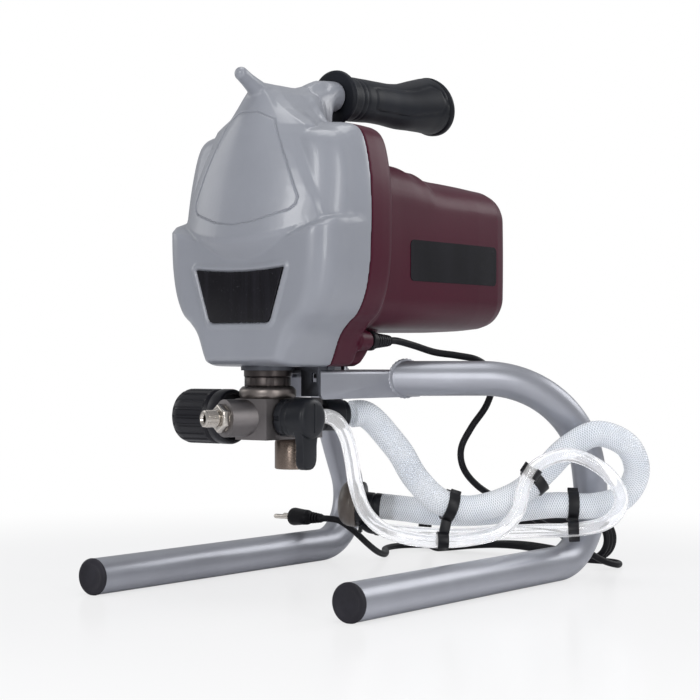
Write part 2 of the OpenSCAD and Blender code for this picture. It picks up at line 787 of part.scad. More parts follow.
module drive_housing() {
    wall = [
        [-base_half_w, 0], [base_half_w, 0], [56, 40], [60, 70], [60, 150], [-60, 150], [-60, 70], [-56, 40]];
    front_t = 3;
    inner_x = pump_r + 1.5;
    outer_x = bracket_w / 2;
    near_low = axis_z + prime_d / 2 + 1;
    far_low = -18;
    color("#5e6167") on_deck() difference() {
        union() {
            box(-base_half_w, base_half_w, -149, gear_plate_y + gear_plate_t, base_step, base_t);
            box(-outer_x, outer_x, bracket_front - front_t, gear_plate_y + gear_plate_t, 0, base_step + 1);
            translate([0, -pump_y, 0]) cylinder(r = pump_r + 2.5, h = base_step + 1);
            box(inner_x, outer_x, bracket_front - front_t, bracket_front, near_low, 1);
            box(-outer_x, -inner_x, bracket_front - front_t, bracket_front, far_low, 1);
            slice(wall, gear_plate_y, gear_plate_t);
            both_sides() box(yoke_w / 2 + loose_gap, yoke_w / 2 + loose_gap + pillar_t,
                -pump_y - yoke_t / 2, gear_plate_y + 1, base_t - 1, crank_z + 40);
            both_sides() for (z = [post_low, post_high])
                along_y(gear_plate_y + gear_plate_t - 1, post_x, z)
                    cylinder(r = post_r, h = motor_plate_y - gear_plate_y - gear_plate_t + 1);
        }
        translate([0, -pump_y, -1]) cylinder(r = pump_r + fit_gap, h = base_t + 2);
        along_y(gear_plate_y - 1, 0, crank_z) cylinder(r = bearing_d / 2, h = gear_plate_t + 2);
        along_y(gear_plate_y - 1, layshaft_x, layshaft_z) cylinder(r = small_bearing_d / 2, h = gear_plate_t + 2);
        both_sides() translate([bolt_x, front_bolt_y, -1]) cylinder(r = bolt_r, h = base_t - 1);
        box(slot_x, slot_x + 5.5, bracket_front - front_t - 1, bracket_front + 1, -10, -2);
    }
}

module crank_bearing() {
    color("gainsboro") on_deck() along_y(gear_plate_y + 1, 0, crank_z)
        disc(bearing_d / 2, bearing_t, crank_shaft_d / 2 + running);
}

module layshaft_bearings() {
    color("gainsboro") on_deck() for (y = [gear_plate_y + 2, motor_plate_y])
        along_y(y, layshaft_x, layshaft_z) disc(small_bearing_d / 2, small_bearing_t, layshaft_d / 2 + running);
}

// A gear laid in the XZ plane, with a tooth or a gap turned to an angle
module gear(teeth, module_mm, t, turn) {
    rotate([90, 0, 0]) rotate([0, 0, turn]) translate([0, 0, -t]) linear_extrude(t)
        polygon(gear_outline(teeth, module_mm));
}

module crank_gear() {
    shaft_front = -112;
    color("#8b8d92") on_deck() translate([0, 0, crank_z]) {
        along_y(shaft_front) cylinder(r = crank_shaft_d / 2, h = slow_gear_y + slow_gear_t + 2 - shaft_front);
        along_y(shaft_front) cylinder(r = crank_disc_r, h = 6);
        along_y(-pump_y - yoke_t / 2 - 2, stroke / 2) cylinder(r = crank_pin_r, h = yoke_t + 12);
        translate([0, slow_gear_y, 0])
            gear(crank_teeth, slow_module, slow_gear_t, slow_angle + 180 + tau / crank_teeth / 2);
    }
}

module layshaft_gear() {
    color("#8b8d92") on_deck() translate([layshaft_x, 0, layshaft_z]) {
        along_y(gear_plate_y + 2) cylinder(r = layshaft_d / 2, h = motor_plate_y + motor_plate_t - gear_plate_y - 2);
        translate([0, slow_gear_y, 0]) gear(pinion_teeth, slow_module, slow_gear_t, slow_angle);
        translate([0, fast_gear_y, 0])
            gear(gear_teeth, fast_module, fast_gear_t, fast_angle + 180 + tau / gear_teeth / 2);
    }
}

module scotch_yoke() {
    color("slategray") on_deck() translate([0, -pump_y, crank_z]) difference() {
        box(-yoke_w / 2, yoke_w / 2, -yoke_t / 2, yoke_t / 2, -yoke_h / 2, yoke_h / 2);
        box(-window_w / 2 - 1, window_w / 2 + 1, -yoke_t, yoke_t, -window_h / 2, window_h / 2);
    }
}

module piston_rod() {
    color("gainsboro") on_deck() translate([0, -pump_y, rod_low])
        cylinder(r = rod_r, h = crank_z - yoke_h / 2 - rod_low);
}

module motor_plate() {
    plate_mid = motor_z - 8;
    color("#5e6167") on_deck() difference() {
        slice([for (p = round_rect(108, 118, 24)) [p.x, p.y + plate_mid]], motor_plate_y, motor_plate_t);
        along_y(motor_plate_y - 1, layshaft_x, layshaft_z) cylinder(r = small_bearing_d / 2, h = motor_plate_t + 2);
        along_y(motor_plate_y - 1, 0, motor_z) cylinder(r = shaft_d / 2 + 1, h = motor_plate_t + 2);
    }
}

module motor_can() {
    color("silver") on_deck() along_y(can_front, 0, motor_z)
        disc(stator_d / 2 + fit_gap + can_t, can_rear - can_front, stator_d / 2 + fit_gap);
}

module stator_core() {
    color("#7c6f5c") on_deck() along_y(core_y, 0, motor_z) disc(stator_d / 2, core_len, rotor_d / 2 + 0.6);
}

module rotor() {
    shaft_rear = fan_y + fan_t + 2;
    pinion_y = fast_gear_y - 1;
    color("#b87333") on_deck() translate([0, 0, motor_z]) {
        along_y(pinion_y) cylinder(r = shaft_d / 2 - 0.6, h = shaft_rear - pinion_y);
        along_y(can_front + bearing_t + 1) cylinder(r = shaft_d / 2, h = can_rear - can_front - bearing_t);
        along_y(core_y + 2) cylinder(r = rotor_d / 2, h = core_len - 4);
        along_y(commutator_y) cylinder(r = commutator_r, h = commutator_len);
        translate([0, fast_gear_y - 1, 0]) gear(pinion_teeth, fast_module, fast_gear_t + 2, fast_angle);
    }
}

module motor_bearings() {
    bore = shaft_d / 2 - 0.6 + running;
    color("gainsboro") on_deck() for (y = [can_front, can_rear + 1])
        along_y(y, 0, motor_z) disc(bearing_d / 2, bearing_t, bore);
}

module motor_end_frame() {
    color("#5e6167") on_deck() difference() {
        along_y(can_rear, 0, motor_z) disc(stator_d / 2 + can_t, end_frame_t + 4, bearing_d / 2 + fit_gap);
        for (i = [0:5]) translate([0, can_rear - 1, motor_z]) rotate([0, 60 * i + 30, 0])
            along_y(0, 26) cylinder(r = 7, h = end_frame_t + 8);
    }
}

module brush_holders() {
    holder_h = 14;
    inner = commutator_r + 3;
    outer = sqrt(stator_d * stator_d / 4 - holder_h * holder_h / 4);
    color("#c9a45a") on_deck() both_sides() translate([inner, commutator_y + 2, motor_z - holder_h / 2])
        difference() {
            cube([outer - inner, 10, holder_h]);
            translate([-1, 2, 3]) cube([stator_d, 6, holder_h - 6]);
        }
}

module carbon_brushes() {
    color("#303030") on_deck() both_sides()
        translate([commutator_r + loose_gap, commutator_y + 4 + fit_gap, motor_z - 4 + fit_gap])
            cube([18, 6 - 2 * fit_gap, 8 - 2 * fit_gap]);
}

module cooling_fan() {
    blades = 9;
    hub_r = shaft_d / 2 + 6;
    color("#e9e6da") on_deck() translate([0, fan_y, motor_z]) {
        along_y(0) disc(hub_r, fan_t, shaft_d / 2 - 0.6);
        along_y(1) disc(fan_r, 2, hub_r - 1);
        for (i = [0:blades - 1]) rotate([0, tau * (i + 0.25) / blades, 0])
            translate([hub_r - 1, 2, -1]) cube([fan_r - hub_r, fan_t - 3, 2]);
    }
}

module control_board() {
    color("darkgreen") on_deck() translate([0, board_y, motor_z]) {
        box(-board_w / 2, board_w / 2, 0, board_t, -board_h / 2, board_h / 2);
        box(-20, 4, -14, 0, -18, 10);
        along_y(-18, 22, 8) cylinder(r = 9, h = 18);
        both_sides() for (z = [-board_h / 2 + 5, board_h / 2 - 5])
            along_y(board_t, board_w / 2 - 5, z) cylinder(r = 3, h = barrel_rear - shell_t - board_y - board_t);
    }
}

// ---- Pump ----

module on_pump() {
    on_deck() translate([0, -pump_y, 0]) children();
}

module pump_cylinder() {
    color("#6d6f73") on_pump() difference() {
        union() {
            translate([0, 0, cylinder_low]) cylinder(r = pump_r, h = base_t + 2 - cylinder_low);
            translate([0, 0, manifold_top]) cylinder(r = neck_r, h = cylinder_low - manifold_top + 1);
        }
        translate([0, 0, manifold_top - 1]) cylinder(r = rod_r + running, h = 80);
        translate([0, 0, -2]) cylinder(r = packing_r + fit_gap, h = 40);
    }
}

module jam_ring() {
    color("#77797d") on_pump() translate([0, 0, ring_low])
        disc(pump_r + 0.4, cylinder_low - ring_low, neck_r + fit_gap);
}

module pump_collar() {
    color("#85878c") on_pump() translate([0, 0, manifold_top])
        disc(collar_r, ring_low - manifold_top, neck_r + fit_gap);
}

module rod_packing() {
    color("white") on_pump() translate([0, 0, -2]) disc(packing_r, 9, rod_r + running);
}

module packing_nut() {
    color("goldenrod") on_pump() difference() {
        union() {
            translate([0, 0, 7]) cylinder(r = packing_r, h = base_t - 5);
            translate([0, 0, base_t + 2]) cylinder(r = packing_r + 3, h = 5, $fn = 6);
        }
        cylinder(r = rod_r + running, h = 40);
    }
}

module on_branch(reach = 0) {
    on_pump() translate([0, 0, axis_z]) rotate([0, 0, -branch_turn]) translate([0, -reach, 0])
        rotate([90, 0, 0]) children();
}

module manifold() {
    chamber_low = rod_low - stroke / 2 - 3;
    color("#a9a8a4") difference() {
        union() {
            on_deck() box(-manifold_w / 2, manifold_w / 2, manifold_front, manifold_rear, manifold_low, manifold_top);
            on_branch() cylinder(r = branch_d / 2, h = branch_len);
            on_pump() along_x(-manifold_w / 2 - spigot_out, 0, axis_z)
                cylinder(r = spigot_r, h = manifold_w / 2 + spigot_out);
            on_pump() along_x(0, 0, axis_z) cylinder(r = spigot_r, h = collar_x);
        }
        on_pump() translate([0, 0, chamber_low]) cylinder(r = rod_r + chamber_gap, h = 60);
        on_branch(outlet_bore_r) cylinder(r = outlet_bore_r, h = branch_len);
        on_pump() along_x(-manifold_w, 0, axis_z) cylinder(r = stem_r + running, h = manifold_w);
        on_pump() along_x(0, 0, axis_z) cylinder(r = stem_r + running, h = manifold_w);
        on_deck() along_y(inlet_y, 0, axis_z + 1) cylinder(r = outlet_bore_r, h = 40);
        on_deck() translate([0, inlet_y, manifold_low - 1]) cylinder(r = outlet_bore_r, h = axis_z + 2 - manifold_low);
    }
}

module outlet_check() {
    color("gold") on_branch(branch_len - 12 - check_len) disc(outlet_bore_r - fit_gap, check_len, 2.5);
}

module outlet_nipple() {
    thread_r = nipple_d / 2;
    color("#b5b0a8") on_branch(branch_len) difference() {
        union() {
            translate([0, 0, -12]) cylinder(r = outlet_bore_r - fit_gap, h = 13);
            cylinder(r = 11, h = hex_t, $fn = 6);
            translate([0, 0, hex_t]) cylinder(r = thread_r, h = nipple_len);
        }
        translate([0, 0, -13]) cylinder(r = nipple_bore_r, h = 60);
    }
}

module inlet_housing() {
    color("#8c8178") on_deck() translate([0, inlet_y, manifold_low - inlet_h]) difference() {
        cylinder(r = inlet_d / 2, h = inlet_h);
        translate([0, 0, 4]) cylinder(r = inlet_chamber_r, h = inlet_h);
    }
}

module inlet_seat() {
    color("gold") on_deck() translate([0, inlet_y, manifold_low - inlet_h + 4])
        disc(inlet_chamber_r - fit_gap, 4, 3.5);
}

module inlet_ball() {
    ball_r = 6;
    rise = sqrt(ball_r * ball_r - 3.5 * 3.5);
    color("gainsboro") on_deck() translate([0, inlet_y, manifold_low - inlet_h + 8 + rise + 0.1]) sphere(r = ball_r);
}

// ---- Controls ----

module pressure_control() {
    color("#a9a8a4") on_pump() along_x(-manifold_w / 2 - spigot_out - control_len, 0, axis_z)
        disc(control_r, control_len, stem_r + running);
}

module pressure_stem() {
    color("gainsboro") on_pump() along_x(knob_x - 12, 0, axis_z)
        cylinder(r = stem_r, h = -manifold_w / 2 + 12 - knob_x + 6);
}

module pressure_knob() {
    ribs = 24;
    knob_r = knob_d / 2;
    outline = [for (i = [0:4 * ribs - 1])
        let (r = knob_r - (i % 4 < 2 ? 0 : 0.9), a = tau * (i + 0.5) / (4 * ribs)) [r * cos(a), r * sin(a)]];
    color("#29292f") on_pump() along_x(knob_x - knob_len, 0, axis_z) difference() {
        union() {
            translate([0, 0, 3]) linear_extrude(knob_len - 12) polygon(outline);
            cylinder(r1 = knob_r - 4, r2 = knob_r - 1, h = 3);
            translate([0, 0, knob_len - 9.5]) cylinder(r = knob_r - 0.5, h = 9.5);
        }
        translate([0, 0, knob_len - 12]) cylinder(r = stem_r + fit_gap, h = 20);
        translate([0, 0, knob_len - 3]) cylinder(r = knob_r - 4, h = 4);
    }
}

module prime_valve_body() {
    body_r = prime_d / 2 - 1.3;
    barb_front = -pump_y + spigot_r + 0.1;
    color("#1d1d22") difference() {
        union() {
            on_pump() along_x(collar_x, 0, axis_z) cylinder(r = body_r, h = collar_len);
            on_deck() along_y(barb_front, barb_x, axis_z) cylinder(r = barb_r, h = barb_y - barb_front);
        }
        on_pump() along_x(0, 0, axis_z) cylinder(r = stem_r + running, h = 60);
    }
}

module prime_stem() {
    color("gainsboro") on_pump() along_x(8, 0, axis_z) cylinder(r = stem_r, h = drum_x + 6 - 8);
}

module prime_lever() {
    face_x = drum_x + drum_len - drum_cap - lever_t;
    color("#24242a") on_pump() translate([0, 0, axis_z]) difference() {
        union() {
            along_x(drum_x) cylinder(r = prime_d / 2, h = drum_len);
            box(face_x, face_x + lever_t, -lever_w / 2, lever_w / 2, -lever_len + lever_w / 2, 0);
            along_x(face_x, 0, -lever_len + lever_w / 2) cylinder(r = lever_w / 2, h = lever_t);
        }
        along_x(drum_x - 1) cylinder(r = stem_r + fit_gap, h = 7);
    }
}

// ---- Suction side ----

module on_fitting(reach = 0) {
    on_deck() translate([0, manifold_rear, axis_z + 1]) rotate([0, 0, -fitting_turn])
        translate([0, reach, 0]) rotate([-90, 0, 0]) children();
}

module suction_fitting() {
    elbow_r = 9;
    color("#1d1d22") difference() {
        union() {
            on_fitting(0) cylinder(r = elbow_r, h = fitting_len - fitting_nut_len);
            on_fitting(fitting_len - fitting_nut_len - 8) cylinder(r = fitting_nut_r, h = fitting_nut_len);
            on_fitting(fitting_len - 8) cylinder(r = hose_d / 2, h = 8);
        }
        on_deck() box(-30, 30, manifold_rear - 30, manifold_rear, axis_z - 20, axis_z + 20);
    }
}

module suction_hose() {
    color("lightsteelblue") swept(hose_route, hose_d, 12);
}

module drain_tube() {
    color("aliceblue") swept(drain_route, drain_d, 10);
}

// Where the route's piece i crosses the plane through p, square to a direction
function crossing(route, i, p, way) =
    let (step = route[i + 1] - route[i])
    route[i] + step * ((p - route[i]) * way) / (step * way);

// A clip: one ring round the hose, one round the tube beside it, and the bar between them
module hose_clips() {
    clip_w = 10;
    clip_t = 2;
    bar_r = 3;
    hose_r = hose_d / 2 + 0.4;
    drain_r = drain_d / 2 + 0.4;
    color("#17171b") for (c = clips) {
        a = (hose_route[c.x] + hose_route[c.x + 1]) / 2;
        hose_way = unit(hose_route[c.x + 1] - hose_route[c.x]);
        b = crossing(drain_route, c.y, a, hose_way);
        drain_way = unit(drain_route[c.y + 1] - drain_route[c.y]);
        across = unit(b - a);
        along(a - hose_way * clip_w / 2, hose_way) disc(hose_r + clip_t, clip_w, hose_r);
        along(b - drain_way * clip_w / 2, drain_way) disc(drain_r + clip_t, clip_w, drain_r);
        along(a + across * (hose_r + clip_t / 2), across)
            cylinder(r = bar_r, h = norm(b - a) - hose_r - drain_r - clip_t);
    }
}

module strainer_elbow() {
    neck = 17;
    color("#1d1d22") {
        along(strainer_point, strainer_axis) {
            cylinder(r = hose_d / 2, h = neck);
            translate([0, 0, neck]) cylinder(r = strainer_d / 2 - 1, h = 5);
        }
    }
}

module strainer_cup() {
    start = strainer_point + unit(strainer_axis) * 22;
    color("#4c4540") along(start, strainer_axis) {
        cylinder(r = strainer_d / 2, h = 6);
        translate([0, 0, 6]) cylinder(r1 = strainer_d / 2, r2 = strainer_d / 2 - 8, h = 12);
    }
}

// ---- Mains cord ----

hank_line = concat(
    [hank_ring(0) + [hank_end, 0, 0]],
    [for (i = [0:hank_turns * hank_rings + hank_part - 1]) hank_ring(i)],
    [hank_ring(hank_turns * hank_rings) - [hank_run, 0, 0]],
    [hank_ring(hank_turns * hank_rings) - [hank_run + hank_end, 0, 0]]);
echo(hank_least_gap = least_gap(hank_line, hank_rings / 2, cord_d));

module power_cord() {
    color("#18181c") swept(cord_route, cord_d, 8);
}

module cord_hank() {
    color("#18181c") swept(hank_line, cord_d, 6);
}

module plug_lead() {
    color("#18181c") swept(lead_route, cord_d, 8);
}

module on_plug(reach = 0) {
    translate(plug_point - [reach, 0, 0]) rotate([0, -90, 0]) children();
}

module plug_body() {
    color("#1a1a1e") on_plug() {
        cylinder(r1 = 4.5, r2 = 6.5, h = 14);
        translate([0, 0, 14]) cylinder(r1 = 9, r2 = 11, h = 22);
    }
}

module plug_pins() {
    color("gainsboro") for (s = [-1, 1]) on_plug(36) translate([0, s * 7, 0]) cylinder(r = 2.4, h = 19);
}

stand_leg_right();
stand_leg_left();
leg_caps();
mount_bracket();
bracket_bolts();
front_cover();
rear_housing();
front_label();
side_labels();
cover_screws();
handle_core();
handle_grip();
cord_gland();
switch_bezel();
power_rocker();
drive_housing();
crank_bearing();
layshaft_bearings();
crank_gear();
layshaft_gear();
scotch_yoke();
piston_rod();
motor_plate();
motor_can();
stator_core();
rotor();
motor_bearings();
motor_end_frame();
brush_holders();
carbon_brushes();
cooling_fan();
control_board();
pump_cylinder();
jam_ring();
pump_collar();
rod_packing();
packing_nut();
manifold();
outlet_check();
outlet_nipple();
inlet_housing();
inlet_seat();
inlet_ball();
pressure_control();
pressure_stem();
pressure_knob();
prime_valve_body();
prime_stem();
prime_lever();
suction_fitting();
suction_hose();
drain_tube();
hose_clips();
strainer_elbow();
strainer_cup();
power_cord();
cord_hank();
plug_lead();
plug_body();
plug_pins();
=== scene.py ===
import math

import bmesh
import bpy
from mathutils import Matrix, Vector


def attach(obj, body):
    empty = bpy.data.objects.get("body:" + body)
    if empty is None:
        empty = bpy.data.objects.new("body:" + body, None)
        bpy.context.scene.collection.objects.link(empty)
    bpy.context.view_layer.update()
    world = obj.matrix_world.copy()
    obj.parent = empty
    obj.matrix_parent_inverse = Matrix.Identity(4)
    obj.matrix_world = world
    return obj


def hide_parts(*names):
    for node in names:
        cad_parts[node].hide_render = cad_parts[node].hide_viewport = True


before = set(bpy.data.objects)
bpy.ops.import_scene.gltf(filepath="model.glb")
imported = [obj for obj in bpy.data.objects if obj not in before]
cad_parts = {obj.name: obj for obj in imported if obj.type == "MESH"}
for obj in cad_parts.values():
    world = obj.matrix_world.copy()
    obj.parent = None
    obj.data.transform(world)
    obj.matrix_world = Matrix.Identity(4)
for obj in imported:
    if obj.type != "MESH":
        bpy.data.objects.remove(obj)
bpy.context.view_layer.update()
scene = bpy.context.scene
scene.view_settings.view_transform = "Standard"

mm = 0.001
xWay, yWay, zWay = Vector((1, 0, 0)), Vector((0, 1, 0)), Vector((0, 0, 1))


# ---- camera ----

camera = {"place": (0.9439, -1.2952, 0.2051), "turn": (90.3182, 0, 36.2501), "lens": 90, "sensor": 36}


def addCamera():
    eye = bpy.data.objects.new("camera", bpy.data.cameras.new("camera"))
    scene.collection.objects.link(eye)
    eye.location = camera["place"]
    eye.rotation_euler = [math.radians(a) for a in camera["turn"]]
    eye.data.lens = camera["lens"]
    eye.data.sensor_width = camera["sensor"]
    eye.data.clip_end = 50
    scene.camera = eye


addCamera()


# ---- shader helpers ----

# A socket that takes part in plain arithmetic: wire * 2 + 1 adds the Math nodes
class Wire:
    def __init__(self, finish, socket):
        self.finish = finish
        self.socket = socket

    def calc(self, operation, *values):
        node = self.finish.node("ShaderNodeMath", {"operation": operation}, dict(enumerate(values)))
        return Wire(self.finish, node.outputs[0])

    def __add__(self, other):
        return self.calc("ADD", self, other)

    def __radd__(self, other):
        return self.calc("ADD", other, self)

    def __sub__(self, other):
        return self.calc("SUBTRACT", self, other)

    def __rsub__(self, other):
        return self.calc("SUBTRACT", other, self)

    def __mul__(self, other):
        return self.calc("MULTIPLY", self, other)

    def __rmul__(self, other):
        return self.calc("MULTIPLY", other, self)

    def __truediv__(self, other):
        return self.calc("DIVIDE", self, other)

    def absolute(self):
        return self.calc("ABSOLUTE", self)

    def fraction(self):
        return self.calc("FRACT", self)

    def most(self, other):
        return self.calc("MAXIMUM", self, other)

    # From 0 at the low value to 1 at the high one, held between them
    def ramp(self, low, high):
        node = self.finish.node("ShaderNodeMapRange", {"interpolation_type": "SMOOTHSTEP"},
                                {"Value": self, "From Min": low, "From Max": high})
        return Wire(self.finish, node.outputs[0])


class Finish:
    def __init__(self, name):
        self.material = bpy.data.materials.new(name)
        self.material.use_nodes = True
        self.tree = self.material.node_tree
        self.shader = self.tree.nodes["Principled BSDF"]
        self.output = self.tree.nodes["Material Output"]
        self.place = Wire(self, self.node("ShaderNodeTexCoord").outputs["Object"])

    # Adds any node: its settings come first, then the values or links of its sockets
    def node(self, kind, settings=None, sockets=None):
        node = self.tree.nodes.new(kind)
        for key, value in (settings or {}).items():
            setattr(node, key, value)
        for key, value in (sockets or {}).items():
            self.join(node.inputs[key], value)
        return node

    def join(self, socket, value):
        if isinstance(value, Wire):
            self.tree.links.new(value.socket, socket)
        elif isinstance(value, bpy.types.NodeSocket):
            self.tree.links.new(value, socket)
        else:
            socket.default_value = value

    def set(self, **values):
        for key, value in values.items():
            self.join(self.shader.inputs[key.replace("_", " ")], value)

    def noise(self, scale, detail=3, roughness=0.5, stretch=None, distortion=0.0):
        where = self.place
        if stretch:
            where = self.node("ShaderNodeMapping", None, {"Vector": where, "Scale": stretch}).outputs[0]
        return Wire(self, self.node("ShaderNodeTexNoise", None, {
            "Vector": where, "Scale": scale, "Detail": detail, "Roughness": roughness,
            "Distortion": distortion}).outputs["Fac"])

    def cells(self, scale):
        node = self.node("ShaderNodeTexVoronoi", None, {"Vector": self.place, "Scale": scale})
        return Wire(self, node.outputs["Distance"])

    def axes(self, where):
        node = self.node("ShaderNodeSeparateXYZ", None, {0: where})
        return [Wire(self, out) for out in node.outputs]

    def tint(self, share, first, second):
        node = self.node("ShaderNodeMix", {"data_type": "RGBA"}, {0: share, 6: first, 7: second})
        return Wire(self, node.outputs[2])

    def bump(self, height, strength, depth, under=None):
        sockets = {"Height": height, "Strength": strength, "Distance": depth}
        if under:
            sockets["Normal"] = under
        return Wire(self, self.node("ShaderNodeBump", None, sockets).outputs[0])

    # Sends a mix of two shaders to the output
    def show(self, share, first, second):
        both = self.node("ShaderNodeMixShader", None, {0: share, 1: first.outputs[0], 2: second.outputs[0]})
        self.join(self.output.inputs[0], both.outputs[0])


# A colour as it is read off a screen, 0 to 255
def screen(red, green, blue):
    def plain(value):
        share = value / 255
        return share / 12.92 if share < 0.04045 else ((share + 0.055) / 1.055) ** 2.4
    return (plain(red), plain(green), plain(blue), 1)


def shaded(colour, share):
    return (colour[0] * share, colour[1] * share, colour[2] * share, 1)


# ---- finishes ----

# Moulded and painted plastic: soft orange peel, faint dust in patches, handling marks in the gloss
def mouldedPlastic(name, colour, gloss, peel=0.12, dust=0.06, coat=0.0, flake=0.0, shine=0.5):
    made = Finish(name)
    broad = made.noise(9, 4, 0.6)
    fine = made.noise(900, 2, 0.5)
    patch = made.noise(38, 5, 0.65, distortion=0.3)
    base = made.tint(broad.ramp(0.35, 0.7), shaded(colour, 0.96), shaded(colour, 1.04))
    base = made.tint(patch.ramp(0.58, 0.85) * dust, base, screen(205, 205, 208))
    if flake:
        sparkle = made.cells(2600).ramp(0.30, 0.05)
        base = made.tint(sparkle * flake, base, shaded(colour, 1.5))
    skin = made.bump(made.noise(420, 2, 0.4), peel, 0.0002)
    skin = made.bump(made.noise(60, 2, 0.5), peel * 0.5, 0.0006, skin)
    made.set(Base_Color=base, Roughness=gloss + (patch - 0.5) * 0.10 + (fine - 0.5) * 0.06, Normal=skin,
             Coat_Weight=coat, Coat_Roughness=0.12, Specular_IOR_Level=shine)
    return made.material


# Black moulded nylon and rubber: a fine grain, lighter where it is rubbed
def grainedBlack(name, colour, gloss, grain, depth=0.35):
    made = Finish(name)
    leather = made.cells(grain)
    cloud = made.noise(26, 4, 0.6)
    rubbed = made.noise(7, 3, 0.6).ramp(0.5, 0.8)
    base = made.tint(cloud.ramp(0.35, 0.7), shaded(colour, 0.8), shaded(colour, 1.25))
    base = made.tint(rubbed * 0.10, base, screen(80, 80, 86))
    skin = made.bump(leather, depth, 0.00025)
    made.set(Base_Color=base, Roughness=gloss + (cloud - 0.5) * 0.16 - rubbed * 0.05, Normal=skin,
             Specular_IOR_Level=0.2)
    return made.material


# Bare metal: fine turning lines across one axis, clouding, and stain in the low places
def bareMetal(name, colour, gloss, stain, dirt, lines=(1, 1, 30)):
    made = Finish(name)
    turning = made.noise(220, 2, 0.6, stretch=lines)
    cloud = made.noise(34, 5, 0.65)
    spots = made.noise(160, 3, 0.7).ramp(0.6, 0.78)
    base = made.tint(cloud.ramp(0.35, 0.75), shaded(colour, 0.88), shaded(colour, 1.06))
    base = made.tint((cloud.ramp(0.5, 0.85) + spots * 0.4) * dirt, base, stain)
    skin = made.bump(turning, 0.15, 0.0002)
    made.set(Base_Color=base, Metallic=1.0 - spots * dirt * 0.5,
             Roughness=gloss + (cloud - 0.5) * 0.22 + (turning - 0.5) * 0.12, Normal=skin)
    return made.material


# Silver powder coat on the stand
def powderCoat(name, colour):
    made = Finish(name)
    pebble = made.noise(1500, 2, 0.5)
    cloud = made.noise(14, 4, 0.6)
    sparkle = made.cells(3200).ramp(0.28, 0.05)
    scuff = made.noise(55, 5, 0.7, stretch=(1, 0.25, 1)).ramp(0.66, 0.8)
    base = made.tint(cloud.ramp(0.3, 0.75), shaded(colour, 0.94), shaded(colour, 1.05))
    base = made.tint(sparkle * 0.35, base, shaded(colour, 1.7))
    base = made.tint(scuff * 0.22, base, screen(118, 120, 128))
    skin = made.bump(pebble, 0.18, 0.0002)
    made.set(Base_Color=base, Roughness=0.36 + scuff * 0.12 + (pebble - 0.5) * 0.10, Metallic=0.55,
             Normal=skin, Coat_Weight=0.25, Coat_Roughness=0.18)
    return made.material


# Glossy printed film on a label plate, left bare: faint streaks of reflected haze
def labelFilm(name):
    made = Finish(name)
    streak = made.noise(24, 3, 0.5, stretch=(4, 1, 0.2))
    speck = made.noise(700, 2, 0.5).ramp(0.68, 0.75)
    base = made.tint(streak.ramp(0.4, 0.7), screen(14, 13, 18), screen(26, 25, 31))
    base = made.tint(speck * 0.15, base, screen(120, 120, 125))
    made.set(Base_Color=base, Roughness=0.16 + streak * 0.10, Normal=made.bump(streak, 0.04, 0.0003),
             Specular_IOR_Level=0.22)
    return made.material


coverSilver = mouldedPlastic("coverSilver", screen(141, 144, 152), 0.34, peel=0.10, dust=0.05, coat=0.25,
                             flake=0.25)
housingMaroon = mouldedPlastic("housingMaroon", screen(66, 4, 30), 0.40, peel=0.16, dust=0.01, shine=0.22)
blackPlastic = mouldedPlastic("blackPlastic", screen(22, 22, 26), 0.38, peel=0.25, dust=0.02, shine=0.3)
valveBlack = mouldedPlastic("valveBlack", screen(26, 28, 33), 0.36, peel=0.2, dust=0.02, shine=0.3)
gripRubber = grainedBlack("gripRubber", screen(20, 23, 30), 0.48, grain=900, depth=0.25)
capRubber = grainedBlack("capRubber", screen(40, 39, 45), 0.5, grain=700, depth=0.4)
cordRubber = grainedBlack("cordRubber", screen(18, 18, 22), 0.44, grain=1400, depth=0.15)
standSilver = powderCoat("standSilver", screen(160, 162, 170))
labelDark = labelFilm("labelDark")
nickel = bareMetal("nickel", screen(196, 190, 182), 0.26, screen(110, 96, 84), dirt=0.35)
darkSteel = bareMetal("darkSteel", screen(118, 114, 112), 0.34, screen(62, 54, 50), dirt=0.6)
gunMetal = bareMetal("gunMetal", screen(150, 151, 154), 0.38, screen(86, 84, 84), lines=(1, 1, 1), dirt=0.4)
boltSteel = bareMetal("boltSteel", screen(150, 152, 158), 0.32, screen(84, 80, 78), dirt=0.4)
castNickel = bareMetal("castNickel", screen(120, 116, 116), 0.44, screen(84, 76, 72), lines=(1, 1, 1),
                       dirt=0.45)
castDark = bareMetal("castDark", screen(84, 86, 92), 0.5, screen(46, 44, 44), lines=(1, 1, 1), dirt=0.4)
brightNickel = bareMetal("brightNickel", screen(206, 200, 192), 0.2, screen(120, 104, 90), dirt=0.3)
stackDark = bareMetal("stackDark", screen(74, 69, 68), 0.36, screen(38, 34, 33), dirt=0.5)
stackBrown = bareMetal("stackBrown", screen(128, 121, 117), 0.36, screen(66, 59, 55), dirt=0.5)
knobBlack = mouldedPlastic("knobBlack", screen(22, 22, 28), 0.38, peel=0.2, dust=0.01, shine=0.3)
brassBare = bareMetal("brassBare", screen(200, 168, 96), 0.3, screen(120, 88, 44), dirt=0.4)
inletSteel = bareMetal("inletSteel", screen(142, 128, 118), 0.3, screen(70, 58, 50), dirt=0.5)
strainerBrown = mouldedPlastic("strainerBrown", screen(92, 84, 78), 0.34, peel=0.2, dust=0.10)
rockerRed = mouldedPlastic("rockerRed", screen(158, 28, 26), 0.28, peel=0.1, dust=0.03, coat=0.2)
boardGreen = mouldedPlastic("boardGreen", screen(26, 84, 48), 0.4)
fanIvory = mouldedPlastic("fanIvory", screen(226, 222, 208), 0.42)
carbonDark = grainedBlack("carbonDark", screen(40, 40, 42), 0.6, grain=1600)
packingWhite = mouldedPlastic("packingWhite", screen(232, 232, 228), 0.42)


